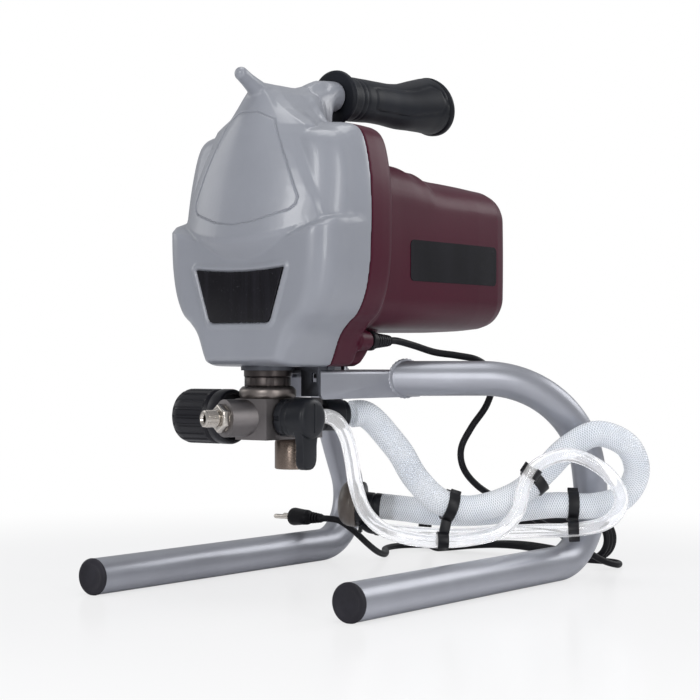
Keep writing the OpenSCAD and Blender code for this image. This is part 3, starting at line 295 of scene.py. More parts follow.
# Clear hose wall with a white yarn braid laid in it, by the tube's own UV map
def braidedHose(name, lead, strands, yarn):
    made = Finish(name)
    around, along, _ = made.axes(made.node("ShaderNodeUVMap", {"uv_map": "UVMap"}).outputs[0])
    masks = []
    for lean in (1, -1):
        phase = (around * strands + along * (lean * strands / lead)).fraction()
        masks.append(1 - ((phase - 0.5).absolute() / yarn).ramp(0.6, 1.0))
    braid = masks[0].most(masks[1])
    weaveHeight = masks[0] + masks[1]
    cloud = made.noise(30, 4, 0.6)
    # The faint white emission is a painted glow that lifts the clear wall towards white
    made.set(Base_Color=made.tint(cloud.ramp(0.3, 0.7), screen(216, 223, 232), screen(236, 240, 245)),
             Roughness=0.12 + cloud * 0.10, Normal=made.bump(weaveHeight, 0.35, 0.0006),
             Transmission_Weight=0.6, IOR=1.2, Emission_Color=(0.97, 0.98, 1, 1), Emission_Strength=0.12)
    thread = made.node("ShaderNodeBsdfPrincipled", None, {
        "Base Color": made.tint(cloud.ramp(0.3, 0.7), screen(240, 243, 248), screen(252, 253, 255)),
        "Roughness": 0.42, "Normal": made.bump(weaveHeight, 0.6, 0.0008), "Sheen Weight": 0.2})
    made.show(braid * 0.85, made.shader, thread)
    return made.material


# Clear, soft drain tube, hardly clouded
def clearTube(name):
    made = Finish(name)
    cloud = made.noise(40, 4, 0.6)
    flow = made.noise(120, 3, 0.5, stretch=(1, 1, 0.2))
    # The faint white emission is a painted glow that lifts the clear tube towards white
    made.set(Base_Color=made.tint(cloud.ramp(0.3, 0.7), screen(240, 241, 244), screen(251, 251, 252)),
             Roughness=0.04 + cloud * 0.06, Normal=made.bump(flow, 0.03, 0.0003),
             Transmission_Weight=0.9, IOR=1.36, Emission_Color=(1, 0.99, 0.98, 1), Emission_Strength=0.08)
    return made.material


hoseBraid = braidedHose("hoseBraid", 0.034, 16, 0.16)
tubeClear = clearTube("tubeClear")
print("finishes made")


# ---- modelling helpers ----

def clearSelection():
    if bpy.context.object and bpy.context.object.mode != "OBJECT":
        bpy.ops.object.mode_set(mode="OBJECT")
    bpy.ops.object.select_all(action="DESELECT")


def activate(piece):
    clearSelection()
    piece.select_set(True)
    bpy.context.view_layer.objects.active = piece


def editAll(kind="FACE"):
    bpy.ops.object.mode_set(mode="EDIT")
    bpy.ops.mesh.select_mode(type=kind)
    bpy.ops.mesh.select_all(action="SELECT")


def leaveEdit():
    bpy.ops.object.mode_set(mode="OBJECT")


# Puts a piece that was modelled standing on the origin along +Z where it belongs
def standAt(piece, place, way, side=None):
    way = Vector(way).normalized()
    across = Vector(side) if side else (xWay if abs(way.z) > 0.9 else way.cross(zWay))
    across = (across - way * across.dot(way)).normalized()
    turn = Matrix((across, way.cross(across), way)).transposed().to_4x4()
    piece.data.transform(Matrix.Translation(Vector(place) * mm) @ turn)
    piece.data.update()
    return piece


def moved(piece, *place):
    piece.data.transform(Matrix.Translation(Vector(place) * mm))
    return piece


# Applies a modifier with the given settings at once
def applied(piece, kind, **settings):
    activate(piece)
    modifier = piece.modifiers.new(kind.lower(), kind)
    for key, value in settings.items():
        setattr(modifier, key, value)
    bpy.ops.object.modifier_apply(modifier=modifier.name)
    return piece


def rounded(piece, width, segments=2, angle=30):
    return applied(piece, "BEVEL", width=width * mm, segments=segments, limit_method="ANGLE",
                   angle_limit=math.radians(angle))


def cleaned(piece):
    activate(piece)
    editAll("VERT")
    bpy.ops.mesh.remove_doubles(threshold=0.00001)
    bpy.ops.mesh.normals_make_consistent(inside=False)
    leaveEdit()
    return piece


# Extrudes the selected ring and resizes it, from place to place of a profile of (radius, height) in mm
def pullRings(profile):
    for (radius, height), (nextRadius, nextHeight) in zip(profile, profile[1:]):
        bpy.ops.mesh.extrude_region_move(TRANSFORM_OT_translate={"value": (0, 0, (nextHeight - height) * mm)})
        share = nextRadius / radius
        bpy.ops.transform.resize(value=(share, share, 1), center_override=(0, 0, nextHeight * mm))


# A turned piece, pulled up from a disc
def turned(profile, sides=48):
    clearSelection()
    radius, height = profile[0]
    bpy.ops.mesh.primitive_circle_add(vertices=sides, radius=radius * mm, fill_type="NGON",
                                      location=(0, 0, height * mm))
    piece = bpy.context.object
    piece.data.transform(Matrix.Translation(piece.location))
    piece.location = (0, 0, 0)
    editAll()
    pullRings(profile)
    bpy.ops.mesh.select_all(action="SELECT")
    bpy.ops.mesh.normals_make_consistent(inside=False)
    leaveEdit()
    return piece


# A turned piece with a bore: the profile goes round the wall and comes back to its start
def turnedRing(profile, sides=48):
    clearSelection()
    radius, height = profile[0]
    bpy.ops.mesh.primitive_circle_add(vertices=sides, radius=radius * mm, fill_type="NOTHING")
    piece = bpy.context.object
    editAll("EDGE")
    bpy.ops.transform.translate(value=(0, 0, height * mm))
    pullRings(profile + profile[:1])
    leaveEdit()
    return cleaned(piece)


# A lofted piece: a polygon is extruded, and each new ring's corners go to that section's points
def lofted(rings):
    clearSelection()
    count = len(rings[0])
    bpy.ops.mesh.primitive_circle_add(vertices=count, radius=0.1, fill_type="NGON")
    piece = bpy.context.object
    editAll()
    mesh = bmesh.from_edit_mesh(piece.data)
    mesh.verts.ensure_lookup_table()
    order = [corner.vert.index for corner in mesh.faces[:][0].loops]
    for level, ring in enumerate(rings):
        if level:
            bpy.ops.mesh.extrude_region_move()
            mesh = bmesh.from_edit_mesh(piece.data)
            mesh.verts.ensure_lookup_table()
            order = [next(edge.other_vert(mesh.verts[k]).index for edge in mesh.verts[k].link_edges
                          if edge.other_vert(mesh.verts[k]).select) for k in order]
        for k, point in zip(order, ring):
            mesh.verts[k].co = Vector(point) * mm
        bmesh.update_edit_mesh(piece.data)
    bpy.ops.mesh.select_all(action="SELECT")
    bpy.ops.mesh.normals_make_consistent(inside=False)
    leaveEdit()
    return piece


# A bar or a plate with sharp edges, rounded afterwards
def block(low, high):
    clearSelection()
    centre = [(a + b) / 2 * mm for a, b in zip(low, high)]
    size = [(b - a) * mm for a, b in zip(low, high)]
    bpy.ops.mesh.primitive_cube_add(size=1)
    piece = bpy.context.object
    piece.data.transform(Matrix.Translation(centre) @ Matrix.Diagonal((*size, 1)))
    return piece


def joined(*parts):
    activate(parts[0])
    for part in parts[1:]:
        part.select_set(True)
    bpy.ops.object.join()
    return bpy.context.object


# Overlapping closed shapes become one skin, as one moulding, with soft inner corners
def moulded(parts, voxel, passes):
    piece = joined(*parts)
    piece.data.remesh_voxel_size = voxel * mm
    piece.data.remesh_voxel_adaptivity = 0
    bpy.ops.object.voxel_remesh()
    return applied(piece, "SMOOTH", factor=0.5, iterations=passes)


def cut(piece, *tools):
    for tool in tools:
        applied(piece, "BOOLEAN", operation="DIFFERENCE", solver="EXACT", object=tool)
        bpy.data.objects.remove(tool)
    return piece


# Names a finished piece, and says what it is made of, rides on and stands for
def finished(piece, name, material, body="sprayer", swaps=(), angle=40):
    piece.name = name
    piece.data.name = name
    piece.data.materials.clear()
    piece.data.materials.append(material)
    if angle:
        activate(piece)
        bpy.ops.object.shade_smooth_by_angle(angle=math.radians(angle))
    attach(piece, body)
    if swaps:
        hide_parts(*swaps)
    return piece


# ---- routes and tubes ----

# A smooth line through the points of a route, with a point every few millimetres
def smoothRoute(points, spacing=3.0):
    route = [Vector(p) for p in points]
    route = [route[0] * 2 - route[1]] + route + [route[-1] * 2 - route[-2]]
    line = []
    for before, here, there, after in zip(route, route[1:], route[2:], route[3:]):
        count = max(2, round((there - here).length / spacing))
        for i in range(count):
            t = i / count
            line.append(0.5 * (2 * here + (there - before) * t
                               + (2 * before - 5 * here + 4 * there - after) * t * t
                               + (3 * here - before - 3 * there + after) * t * t * t))
    line.append(route[-2].copy())
    return line


def lineLength(line):
    return sum((b - a).length for a, b in zip(line, line[1:]))


# A round tube swept along a line, with a bore if there is one, and a UV map: once round, metres along
def sweptTube(line, radius, sides, bore=0, radiusAt=None):
    last = len(line) - 1
    tangents = [(line[min(i + 1, last)] - line[max(i - 1, 0)]).normalized() for i in range(last + 1)]
    side = Vector((0.1, 0.2, 1))
    points, alongs, along = [], [], 0.0
    for i, (point, tangent) in enumerate(zip(line, tangents)):
        side = (side - tangent * side.dot(tangent)).normalized()
        up = tangent.cross(side)
        along += (line[i] - line[i - 1]).length if i else 0.0
        alongs.append(along * mm)
        ringRadius = radiusAt(along) if radiusAt else radius
        for wall in ([ringRadius, bore] if bore else [ringRadius]):
            for k in range(sides):
                a = math.tau * k / sides
                points.append((point + (side * math.cos(a) + up * math.sin(a)) * wall) * mm)
    mesh = bpy.data.meshes.new("tube")
    walls = 2 if bore else 1
    stride = sides * walls
    faces, maps = [], []
    for i in range(last):
        for w in range(walls):
            for k in range(sides):
                a, b = i * stride + w * sides + k, i * stride + w * sides + (k + 1) % sides
                quad = [a, b, b + stride, a + stride]
                uv = [(k / sides, alongs[i]), ((k + 1) / sides, alongs[i]),
                      ((k + 1) / sides, alongs[i + 1]), (k / sides, alongs[i + 1])]
                faces.append(quad if w else quad[::-1])
                maps.append(uv if w else uv[::-1])
    for start, flip in ((0, False), (last * stride, True)):
        where = alongs[-1] if start else 0.0
        if bore:
            for k in range(sides):
                n = (k + 1) % sides
                quad = [start + k, start + n, start + sides + n, start + sides + k]
                faces.append(quad[::-1] if flip else quad)
                maps.append([(0, where)] * 4)
        else:
            ring = [start + k for k in range(sides)]
            faces.append(ring[::-1] if flip else ring)
            maps.append([(0, where)] * sides)
    mesh.from_pydata(points, [], faces)
    layer = mesh.uv_layers.new(name="UVMap")
    for corner, pair in zip(layer.data, (pair for uv in maps for pair in uv)):
        corner.uv = pair
    mesh.update()
    piece = bpy.data.objects.new("tube", mesh)
    scene.collection.objects.link(piece)
    activate(piece)
    editAll()
    bpy.ops.mesh.normals_make_consistent(inside=False)
    leaveEdit()
    return piece


# ---- hose, drain tube and mains cord ----

hose = {
    "diameter": 24, "bore": 18,
    "route": [
        (19, -31.2, 156.6), (24.1, -20.3, 156.6), (30, -12, 150), (38, -5, 138), (48, 4, 121),
        (57, 15, 98), (72, 29, 78), (89, 47, 70), (108, 67, 74), (125, 87, 85), (139, 104, 103),
        (154, 121, 124), (174, 140, 137), (194, 160, 126), (198, 172, 101), (185, 168, 77),
        (162, 151, 69), (135, 131, 70), (104, 111, 66), (71, 92, 62), (38, 75, 62), (12, 63, 65),
        (-8, 54, 67)],
}
drain = {
    "diameter": 13, "bore": 9,
    "route": [
        (24, -85, 155.6), (24, -74, 155.6), (28, -65, 151), (32, -57, 137), (32, -49, 117), (31, -42, 95),
        (33, -30, 70), (41, -10, 52), (61, 14, 43), (88, 39, 42), (118, 57, 50), (133, 66, 68),
        (137, 71, 91), (146, 80, 110), (167, 101, 119), (190, 122, 105), (201, 136, 80),
        (188, 138, 58), (161, 131, 49), (128, 114, 47), (96, 96, 45), (64, 77, 42), (31, 60, 43),
        (4, 47, 45)],
}
mains = {
    "diameter": 6.4,
    "route": [
        (46, -12, 222), (46, 1, 222), (50, 22, 218), (58, 44, 212), (68, 66, 209), (77, 87, 205),
        (80, 104, 195), (77, 114, 180), (68, 117, 161), (55, 112, 141), (46, 108, 121), (46, 112, 102),
        (54, 124, 85), (66, 146, 70), (82, 168, 56), (100, 190, 40), (118, 212, 22), (132, 230, 9),
        (138, 246, 4), (134, 260, 3.2), (124, 269, 3.2), (110, 272, 3.2), (96, 272, 3.2)],
    "lead": [
        (-96, 293.6, 3.2), (-107, 293.6, 3.2), (-124, 288, 3.2), (-136, 274, 3.2), (-138, 254, 3.2),
        (-130, 232, 3.2), (-114, 212, 3.2), (-101, 190, 3.6), (-93, 166, 9), (-89, 142, 20),
        (-91, 122, 34), (-98, 109, 44), (-107, 105, 46), (-118, 105, 46)],
}
hank = {"y": 272, "turns": 3, "step": 7.2, "foldRadius": 22, "run": 176, "waist": 0.45, "rings": 96}


# How far the hank is drawn in at x, as a share of its height
def hankDrawn(x):
    return hank["waist"] * (1 - (x / (hank["run"] / 2 + hank["foldRadius"])) ** 2) ** 2


# The hank's point i: bottom run, left fold, top run with its climb to the next turn, right fold
def hankPoint(i):
    turn, k = divmod(i, hank["rings"])
    part = hank["rings"] // 4
    share = (k % part) / part
    half = hank["run"] / 2
    y = hank["y"] + hank["step"] * turn
    x = hank["run"] * share - half
    foldHeight = hank["foldRadius"] * (1 - hankDrawn(half))
    middle = mains["diameter"] / 2 + foldHeight
    runHeight = hank["foldRadius"] * (1 - hankDrawn(x))
    fold = math.pi * share
    out = half + hank["foldRadius"] * math.sin(fold)
    if k < part:
        return Vector((-x, y, middle - runHeight))
    if k < 2 * part:
        return Vector((-out, y, middle - foldHeight * math.cos(fold)))
    if k < 3 * part:
        return Vector((x, y + hank["step"] * share, middle + runHeight))
    return Vector((out, y + hank["step"], middle + foldHeight * math.cos(fold)))


def hankLine():
    part = hank["rings"] // 4
    last = hank["turns"] * hank["rings"] + part
    return [hankPoint(i) for i in range(last)] + [hankPoint(last - part) - Vector((hank["run"], 0, 0))]


def makeCord(name, cord, line, sides, material, swaps):
    piece = sweptTube(line, cord["diameter"] / 2, sides, cord.get("bore", 0) / 2)
    for face in piece.data.polygons:
        face.use_smooth = True
    return finished(piece, name, material, swaps=swaps, angle=None)


hoseLine = smoothRoute(hose["route"])
drainLine = smoothRoute(drain["route"])
mainsLine = smoothRoute(mains["route"])[:-1] + hankLine() + smoothRoute(mains["lead"])
hosePiece = makeCord("suctionHose", hose, hoseLine, 40, hoseBraid, ["suction_hose"])
drainPiece = makeCord("drainTube", drain, drainLine, 32, tubeClear, ["drain_tube"])
mainsPiece = makeCord("mainsCord", mains, mainsLine, 16, cordRubber, ["power_cord", "cord_hank", "plug_lead"])
print("cords laid")


# ---- front cover ----

cover = {
    "low": 199, "height": 209.5, "halfWidth": 90, "domeHeight": 300, "voxel": 1.35,
    # Half width of the housing's outline at each height, from the bracket up
    "outline": [(0, 199), (30, 199), (44.5, 199.6), (49, 205), (57, 225), (66, 236), (76, 245), (84, 262),
                (88.5, 285), (90, 310), (90, 345), (88, 368), (83, 391), (76, 402), (64, 406.5), (44, 408),
                (20, 408.5), (0, 408.5)],
    # The hook's line and thickness: y, z, radius
    "hook": [(-126, 424, 15), (-136, 431.5, 11.4), (-144, 436.4, 8.8), (-151, 440, 7.2), (-157, 443, 6.2),
             (-162.4, 445.8, 5.8)],
    "hookEnd": (0, -162.6, 445.9), "hookEndRadius": 5.9,
}


# The housing's outline in even steps, all round
def outlinePoints():
    count = 144
    half = smoothRoute([(x, z, 0) for x, z in cover["outline"]], 1.0)
    loop = [Vector((p.x, p.y)) for p in half] + [Vector((-p.x, p.y)) for p in reversed(half[1:-1])]
    lengths = [0.0]
    for a, b in zip(loop, loop[1:] + loop[:1]):
        lengths.append(lengths[-1] + (b - a).length)
    points, k = [], 0
    for i in range(count):
        want = lengths[-1] * i / count
        while lengths[k + 1] < want:
            k += 1
        share = (want - lengths[k]) / max(lengths[k + 1] - lengths[k], 1e-6)
        points.append(loop[k].lerp(loop[(k + 1) % len(loop)], share))
    return points


# The cover's outline at y, drawn in by so much at its sides, its low edge and its top
def coverRing(y, sides, low, top):
    foot, height, half = cover["low"], cover["height"], cover["halfWidth"]
    return [(p.x * (half - sides) / half, y, foot + low + (p.y - foot) / height * (height - low - top))
            for p in outlinePoints()]


# From 0 at the low value to 1 at the high one, with soft ends
def step(low, high, value):
    t = min(max((value - low) / (high - low), 0), 1)
    return t * t * (3 - 2 * t)


# The cover's shell from its seam to the front: a softened shoulder, a round and a closing dome
def coverBody():
    rings = [coverRing(-100, 0, 0, 0), coverRing(-101.2, 0, 0, 0), coverRing(-106, 0, 0, 0.2),
             coverRing(-112, 0, 0, 0.7), coverRing(-124, 0.3, 0, 2.7), coverRing(-134, 1.0, 0.2, 5.6)]
    for k in range(1, 11):
        a = math.radians(9 * k)
        inward = 1 - math.cos(a)
        y = -140 - 25 * math.sin(a)
        rings.append(coverRing(y, 1.4 + 22 * inward, 0.3 + 8 * inward, 7.4 + 12 * inward))
    dome, last = cover["domeHeight"], rings[-1]
    for share in (0.85, 0.6, 0.3, 0.08):
        rings.append([(x * share, y, dome + (z - dome) * share) for x, y, z in last])
    return lofted(rings)


# The hood as a stack of level sections: bowed front, sloping side facets, back inside the cover
def hoodSection(z, front, crest, base, baseY, back, smile, bow):
    ring = []

    def bowed(x):
        return front + bow * (x / crest) ** 2

    def lifted(x):
        return z + smile * (x / 72) ** 2

    for i in range(25):
        x = -crest + 2 * crest * i / 24
        ring.append((x, bowed(x), lifted(x)))
    edge = bowed(crest)
    flank = [(crest + (base - crest) * share, edge + (baseY - edge) * share, lifted(crest))
             for share in (0.25, 0.5, 0.75, 1)]
    behind = [(base - 2 * base * i / 6, back, lifted(crest * (1 - 2 * i / 6))) for i in range(7)]
    return ring + flank + behind + [(-x, y, z) for x, y, z in reversed(flank)]


def hoodBody():
    sections = [
        # z, front, crest, base, baseY, back, smile, bow
        (284, -161, 66, 68, -138, -116, 15, 21.3), (291, -167, 69.5, 72, -140, -116, 15, 23.9),
        (297, -172, 72, 75, -142, -116, 15, 25.9), (302, -175.6, 73, 77, -143, -116, 15, 26.8),
        (307, -177, 72.6, 77, -142, -116, 14, 26.4), (318, -175.2, 71, 76.5, -141, -116, 9, 25.1),
        (334, -172.2, 66.5, 74, -143, -116, 5, 21), (348, -169.6, 60.5, 70.5, -142, -116, 2, 17.4),
        (364, -166.6, 53, 65.5, -141, -116, 0, 14), (380, -163.7, 44.5, 59, -140, -112, 0, 12),
        (394, -161.1, 36.5, 53, -139, -110, 0, 11.4), (403, -159, 30.8, 46, -138, -108, 0, 11),
        (412, -156, 24.4, 33, -137, -106, 0, 10), (420, -151.6, 19.2, 22, -136, -104, 0, 7),
        (428, -147.6, 14, 15, -135, -102, 0, 4), (434, -145.4, 9, 9.5, -134, -104, 0, 2),
        (439, -143.6, 5, 5.5, -134, -112, 0, 1), (441.5, -140, 3, 3.5, -134, -122, 0, 0.2)]
    return lofted([hoodSection(*s) for s in sections])


handle = {"z": 443, "tilt": 2.7, "gripFront": -33, "neckRadius": 13.9}


def onHandle(y):
    tilt = math.radians(handle["tilt"])
    return Vector((0, y * math.cos(tilt), handle["z"] + y * math.sin(tilt)))


handleWay = (onHandle(1) - onHandle(0)).normalized()


# The tent from the hood to the handle: sections that narrow upwards, over the flange and into the stub
def saddleBody():
    shares = (0, 0.22, 0.31, 0.43, 0.57, 0.73, 0.9, 1.0)
    rows = [
        # y, bottom, half widths from the bottom up, shoulder, top
        (-146, 392, (34, 31, 26, 21, 16, 11, 7, 4), 436, 438),
        (-138, 392, (52, 48, 42, 33, 24, 16.5, 10, 6), 438, 441),
        (-126, 392, (54, 51, 46, 37, 28, 20, 12.5, 7), 438.5, 442),
        (-112, 392, (52, 49, 43, 35, 28, 21.5, 14.5, 8.5), 438.5, 442.2),
        (-99, 396, (49, 46, 40, 33, 27, 22, 16, 10), 438, 442.2),
        (-90, 409.4, (36, 33.5, 31, 28, 25, 22, 17, 11), 438, 442.8),
        (-80, 409.4, (27, 26, 25, 24, 22.4, 20.2, 16.6, 11.2), 439, 445.4),
        (-70, 409.4, (21.4, 21, 20.7, 20.2, 19.4, 18.2, 16, 11.4), 441.4, 449.6),
        (-62, 409.4, (18.4, 18.3, 18.2, 18.1, 17.8, 17, 15, 10.8), 443.4, 452.6),
        (-58, 409.8, (17.2, 17.2, 17.2, 17.2, 17, 16.3, 14.4, 10.2), 444.6, 453.6)]

    def flank(low, widths, shoulder, top):
        side = [(x, low + (shoulder - low) * share) for share, x in zip(shares, widths)]
        return side + [(widths[-1] * 0.5, shoulder + (top - shoulder) * 0.78)]

    radius = handle["neckRadius"]
    profiles = [(y, flank(low, widths, shoulder, top), top) for y, low, widths, shoulder, top in rows]
    _, lastFlank, lastTop = profiles[-1]
    for y, share in ((-55.5, 0.22), (-52, 0.5), (-48, 0.76), (-43, 0.93), (-38, 1), (-33.4, 1)):
        centre = onHandle(y).z + 0.3
        circle = [(radius * math.cos(a), centre + radius * math.sin(a))
                  for a in map(math.radians, (-76, -54, -36, -18, 0, 20, 40, 58, 76))]
        side = [(a + (c - a) * share, b + (d - b) * share) for (a, b), (c, d) in zip(lastFlank, circle)]
        profiles.append((y, side, lastTop + (centre + radius - lastTop) * share))
    rings = []
    for y, side, top in profiles:
        right = [(x, y, z) for x, z in side]
        rings.append(right + [(0, y, top)] + [(-x, y, z) for x, y, z in reversed(right)])
    return lofted(rings)


# A tube through the points, as thick as the radii say at even steps along it
def alongLine(points, radii, sides=24):
    line = smoothRoute(points, 1.5)
    total = lineLength(line)
    marks = [total * i / (len(radii) - 1) for i in range(len(radii))]

    def radiusAt(along):
        k = min(int(along / total * (len(radii) - 1)), len(radii) - 2)
        return radii[k] + (radii[k + 1] - radii[k]) * (along - marks[k]) / (marks[k + 1] - marks[k])

    return sweptTube(line, radii[0], sides, radiusAt=radiusAt)


def ball(place, radius):
    clearSelection()
    bpy.ops.mesh.primitive_uv_sphere_add(segments=24, ring_count=16, radius=radius * mm)
    return moved(bpy.context.object, *place)


# The closed lines of the inset panel on the hood and of the label below it, as (x, z)
panelLine = [(9, 414.6), (24.6, 407.6), (43, 369), (55.4, 340), (54.6, 334), (50.2, 329.6), (20, 320.5),
             (0, 318), (-20, 320.5), (-50.2, 329.6), (-54.6, 334), (-55.4, 340), (-43, 369), (-24.6, 407.6),
             (-9, 414.6)]
labelLine = [(47.0, 281.6), (33.2, 240.0), (31.4, 237.2), (28.6, 236.2), (-28.6, 236.2), (-31.4, 237.2),
             (-33.2, 240.0), (-47.0, 281.6), (-30, 280.0), (-10, 278.9), (10, 278.9), (30, 280.0)]


# How far a point lies from a closed line, less than 0 inside it
def distanceTo(line, x, z):
    best, inside = 1e9, False
    for (ax, az), (bx, bz) in zip(line, line[1:] + line[:1]):
        dx, dz = bx - ax, bz - az
        t = min(max(((x - ax) * dx + (z - az) * dz) / (dx * dx + dz * dz), 0), 1)
        best = min(best, math.hypot(x - ax - dx * t, z - az - dz * t))
        if (az > z) != (bz > z) and x < ax + dx * (z - az) / dz:
            inside = not inside
    return -best if inside else best


# Splits the edges that are near a groove, so that a narrow one keeps its shape
def refined(piece, near):
    mesh = bmesh.new()
    mesh.from_mesh(piece.data)
    edges = [edge for edge in mesh.edges if all(near(*(v.co / mm)) for v in edge.verts)]
    bmesh.ops.subdivide_edges(mesh, edges=edges, cuts=2, use_grid_fill=True)
    mesh.to_mesh(piece.data)
    mesh.free()
    piece.data.update()


panel = {"width": 0.75, "depth": 1.3, "inset": 0.35}
neckLine = {"y": -78.6, "above": 409.2, "width": 0.6, "depth": 0.7}


def nearPanel(x, y, z):
    return y < -138 and 312 < z < 420 and abs(x) < 62 and abs(distanceTo(panelLine, x, z)) < 3


def nearNeck(x, y, z):
    return z > 409 and abs(y - neckLine["y"]) < 3


# Presses the panel's groove and the label's raised frame into the faces that look to the front
def pressFront(piece):
    mesh = piece.data
    normals = [v.normal.copy() for v in mesh.vertices]
    for vertex, normal in zip(mesh.vertices, normals):
        x, y, z = vertex.co / mm
        if normal.y > -0.35 or y > -135:
            continue
        if 308 < z < 426 and abs(x) < 64:
            away = distanceTo(panelLine, x, z)
            if abs(away) < 4:
                vertex.co -= normal * (math.exp(-(away / panel["width"]) ** 2) * panel["depth"] * mm)
            if away < 0:
                vertex.co.y += panel["inset"] * mm * step(0, 2, -away)
        if 226 < z < 292 and abs(x) < 60:
            away = distanceTo(labelLine, x, z)
            vertex.co.y -= 1.7 * mm * step(6.0, 4.2, away) * step(0.6, 2.4, away)
            vertex.co.y += 1.0 * mm * step(1.2, -0.4, away)
    mesh.update()


# A fine parting groove round the neck, where the handle's stub starts
def neckGroove(piece):
    normals = [v.normal.copy() for v in piece.data.vertices]
    for vertex, normal in zip(piece.data.vertices, normals):
        _, y, z = vertex.co / mm
        if z > neckLine["above"] and abs(y - neckLine["y"]) < 3:
            fall = math.exp(-((y - neckLine["y"]) / neckLine["width"]) ** 2)
            vertex.co -= normal * (neckLine["depth"] * fall * mm)
    piece.data.update()


# The crease, as (z, x), runs down and in from the widest place; the lower corners are scooped behind it
scoop = {"crease": [(204, 42), (214, 46.3), (230.2, 58.8), (252.2, 79.1), (262, 90)], "depth": 7.5}


def scoopCorners(piece):
    crease = scoop["crease"]
    for vertex in piece.data.vertices:
        x, y, z = vertex.co / mm
        if z > 262 or y > -104:
            continue
        for (z0, x0), (z1, x1) in zip(crease, crease[1:]):
            if z0 <= z <= z1 or (z < 204 and z0 == 204):
                edge = x0 + (x1 - x0) * max(z - z0, 0) / (z1 - z0)
                share = step(0, 5, abs(x) - edge) * step(-104, -125, y) * step(262, 250, z)
                vertex.co.y += share * scoop["depth"] * mm
                break
    piece.data.update()


# Above the belt the cover's front stands back from the lower part, leans back, is bowed and is narrower
belt = {"height": 299, "rise": 17, "back": 5.0, "lean": 0.17, "bow": 0.0055, "narrow": 2.6}


def beltStep(piece):
    for vertex in piece.data.vertices:
        x, y, z = vertex.co / mm
        height = belt["height"] + belt["rise"] * min((x / 80) ** 2, 1.2)
        above = step(height, height + 8, z)
        front = min(max((-100 - y) / 65, 0), 1)
        back = belt["back"] + belt["lean"] * max(z - 303, 0) + belt["bow"] * max(abs(x) - 38, 0) ** 2
        vertex.co.y += above * front * back * mm
        narrower = above * belt["narrow"] * step(0.05, 0.6, front) * min(abs(x) / 70, 1)
        vertex.co.x -= math.copysign(narrower, x) * mm
    piece.data.update()


def makeCover():
    body = coverBody()
    beltStep(body)
    hook = alongLine([(0, y, z) for y, z, _ in cover["hook"]], [radius for _, _, radius in cover["hook"]])
    end = ball(cover["hookEnd"], cover["hookEndRadius"])
    piece = moulded([body, hoodBody(), saddleBody(), hook, end], cover["voxel"], 4)
    scoopCorners(piece)
    refined(piece, nearPanel)
    refined(piece, nearNeck)
    pressFront(piece)
    neckGroove(piece)
    return finished(piece, "frontCover", coverSilver, swaps=["front_cover"],
                    angle=60)


# The label's plate in its raised frame, left bare
def makeFrontLabel():
    outline = [(x, -166.1, z) for x, z in labelLine]
    inner = [(x * 0.985, -166.5, 260 + (z - 260) * 0.97) for x, z in labelLine]
    back = [(x, -163.9, z) for x, z in labelLine]
    piece = lofted([back, outline, inner])
    return finished(piece, "frontLabel", labelDark, swaps=["front_label"], angle=30)


makeCover()
makeFrontLabel()
print("cover made")


# ---- rear housing ----

housing = {"barrelZ": 302, "boss": (46, -66, 222), "vents": 7, "ventStep": 7, "ventLow": 258.5, "ventGap": 3,
           "voxel": 1.5}


# A section of the barrel: at each corner an arc, then seven points on the side that bulges by the crown
def roundRect(halfWidth, halfHeight, corner, y, centre, crown):
    ring, count = [], 12
    for q, (sx, sz) in enumerate(((1, 1), (-1, 1), (-1, -1), (1, -1))):
        for i in range(count + 1):
            a = math.radians(90 * q + 90 * i / count)
            ring.append((sx * (halfWidth - corner) + corner * math.cos(a), y,
                         centre + sz * (halfHeight - corner) + corner * math.sin(a)))
        nextX, nextZ = ((-1, 1), (-1, -1), (1, -1), (1, 1))[q]
        start, end = ring[-1], (nextX * (halfWidth - (corner if q % 2 == 0 else 0)),
                                y, centre + nextZ * (halfHeight - (corner if q % 2 else 0)))
        for i in range(1, 8):
            t = i / 8
            bulge = crown * (1 - (2 * t - 1) ** 2)
            x, z = start[0] + (end[0] - start[0]) * t, start[2] + (end[2] - start[2]) * t
            if q % 2 == 0:
                z += sz * bulge
            else:
                x += sx * bulge * 0.3
            ring.append((x, y, z))
    return ring


def flangeBody():
    rings = []
    for y, inward in ((-99.2, 0), (-98, 0), (-84, 0.2), (-72, 0.8), (-68, 1.8), (-65.5, 3.4), (-64, 6)):
        rings.append(coverRing(y, inward, inward * 0.5, inward * 0.8))
    return lofted(rings)


# The barrel's sections: y, half width, half height, corner radius and crown
barrelRows = [(-72, 74, 80, 36, 1), (-64, 71, 76, 34, 1.4), (-57, 67.4, 73, 32, 2), (-46, 65.6, 71, 31, 2.4),
              (-20, 64.9, 70, 30, 2.6), (40, 64.8, 69.4, 30, 2.6), (110, 64.4, 68.6, 29, 2.4),
              (146, 63.2, 67.6, 28, 2.0), (158, 60.8, 65.6, 27, 1.6), (166, 57, 62, 25, 1.2),
              (170.5, 52, 57, 22, 0.8), (172, 46, 51, 18, 0.4)]


def barrelBody():
    return lofted([roundRect(w, h, c, y, housing["barrelZ"], crown) for y, w, h, c, crown in barrelRows])


# The barrel's side at (y, z), as its x
def barrelSide(y, z):
    for (a, wide, _, _, crownA), (b, nextWide, _, _, crownB) in zip(barrelRows, barrelRows[1:]):
        if y <= b:
            t = (y - a) / (b - a)
            across = (z - housing["barrelZ"]) / 40
            crown = crownA + (crownB - crownA) * t
            return wide + (nextWide - wide) * t + 0.3 * crown * max(0, 1 - across * across)
    return 60


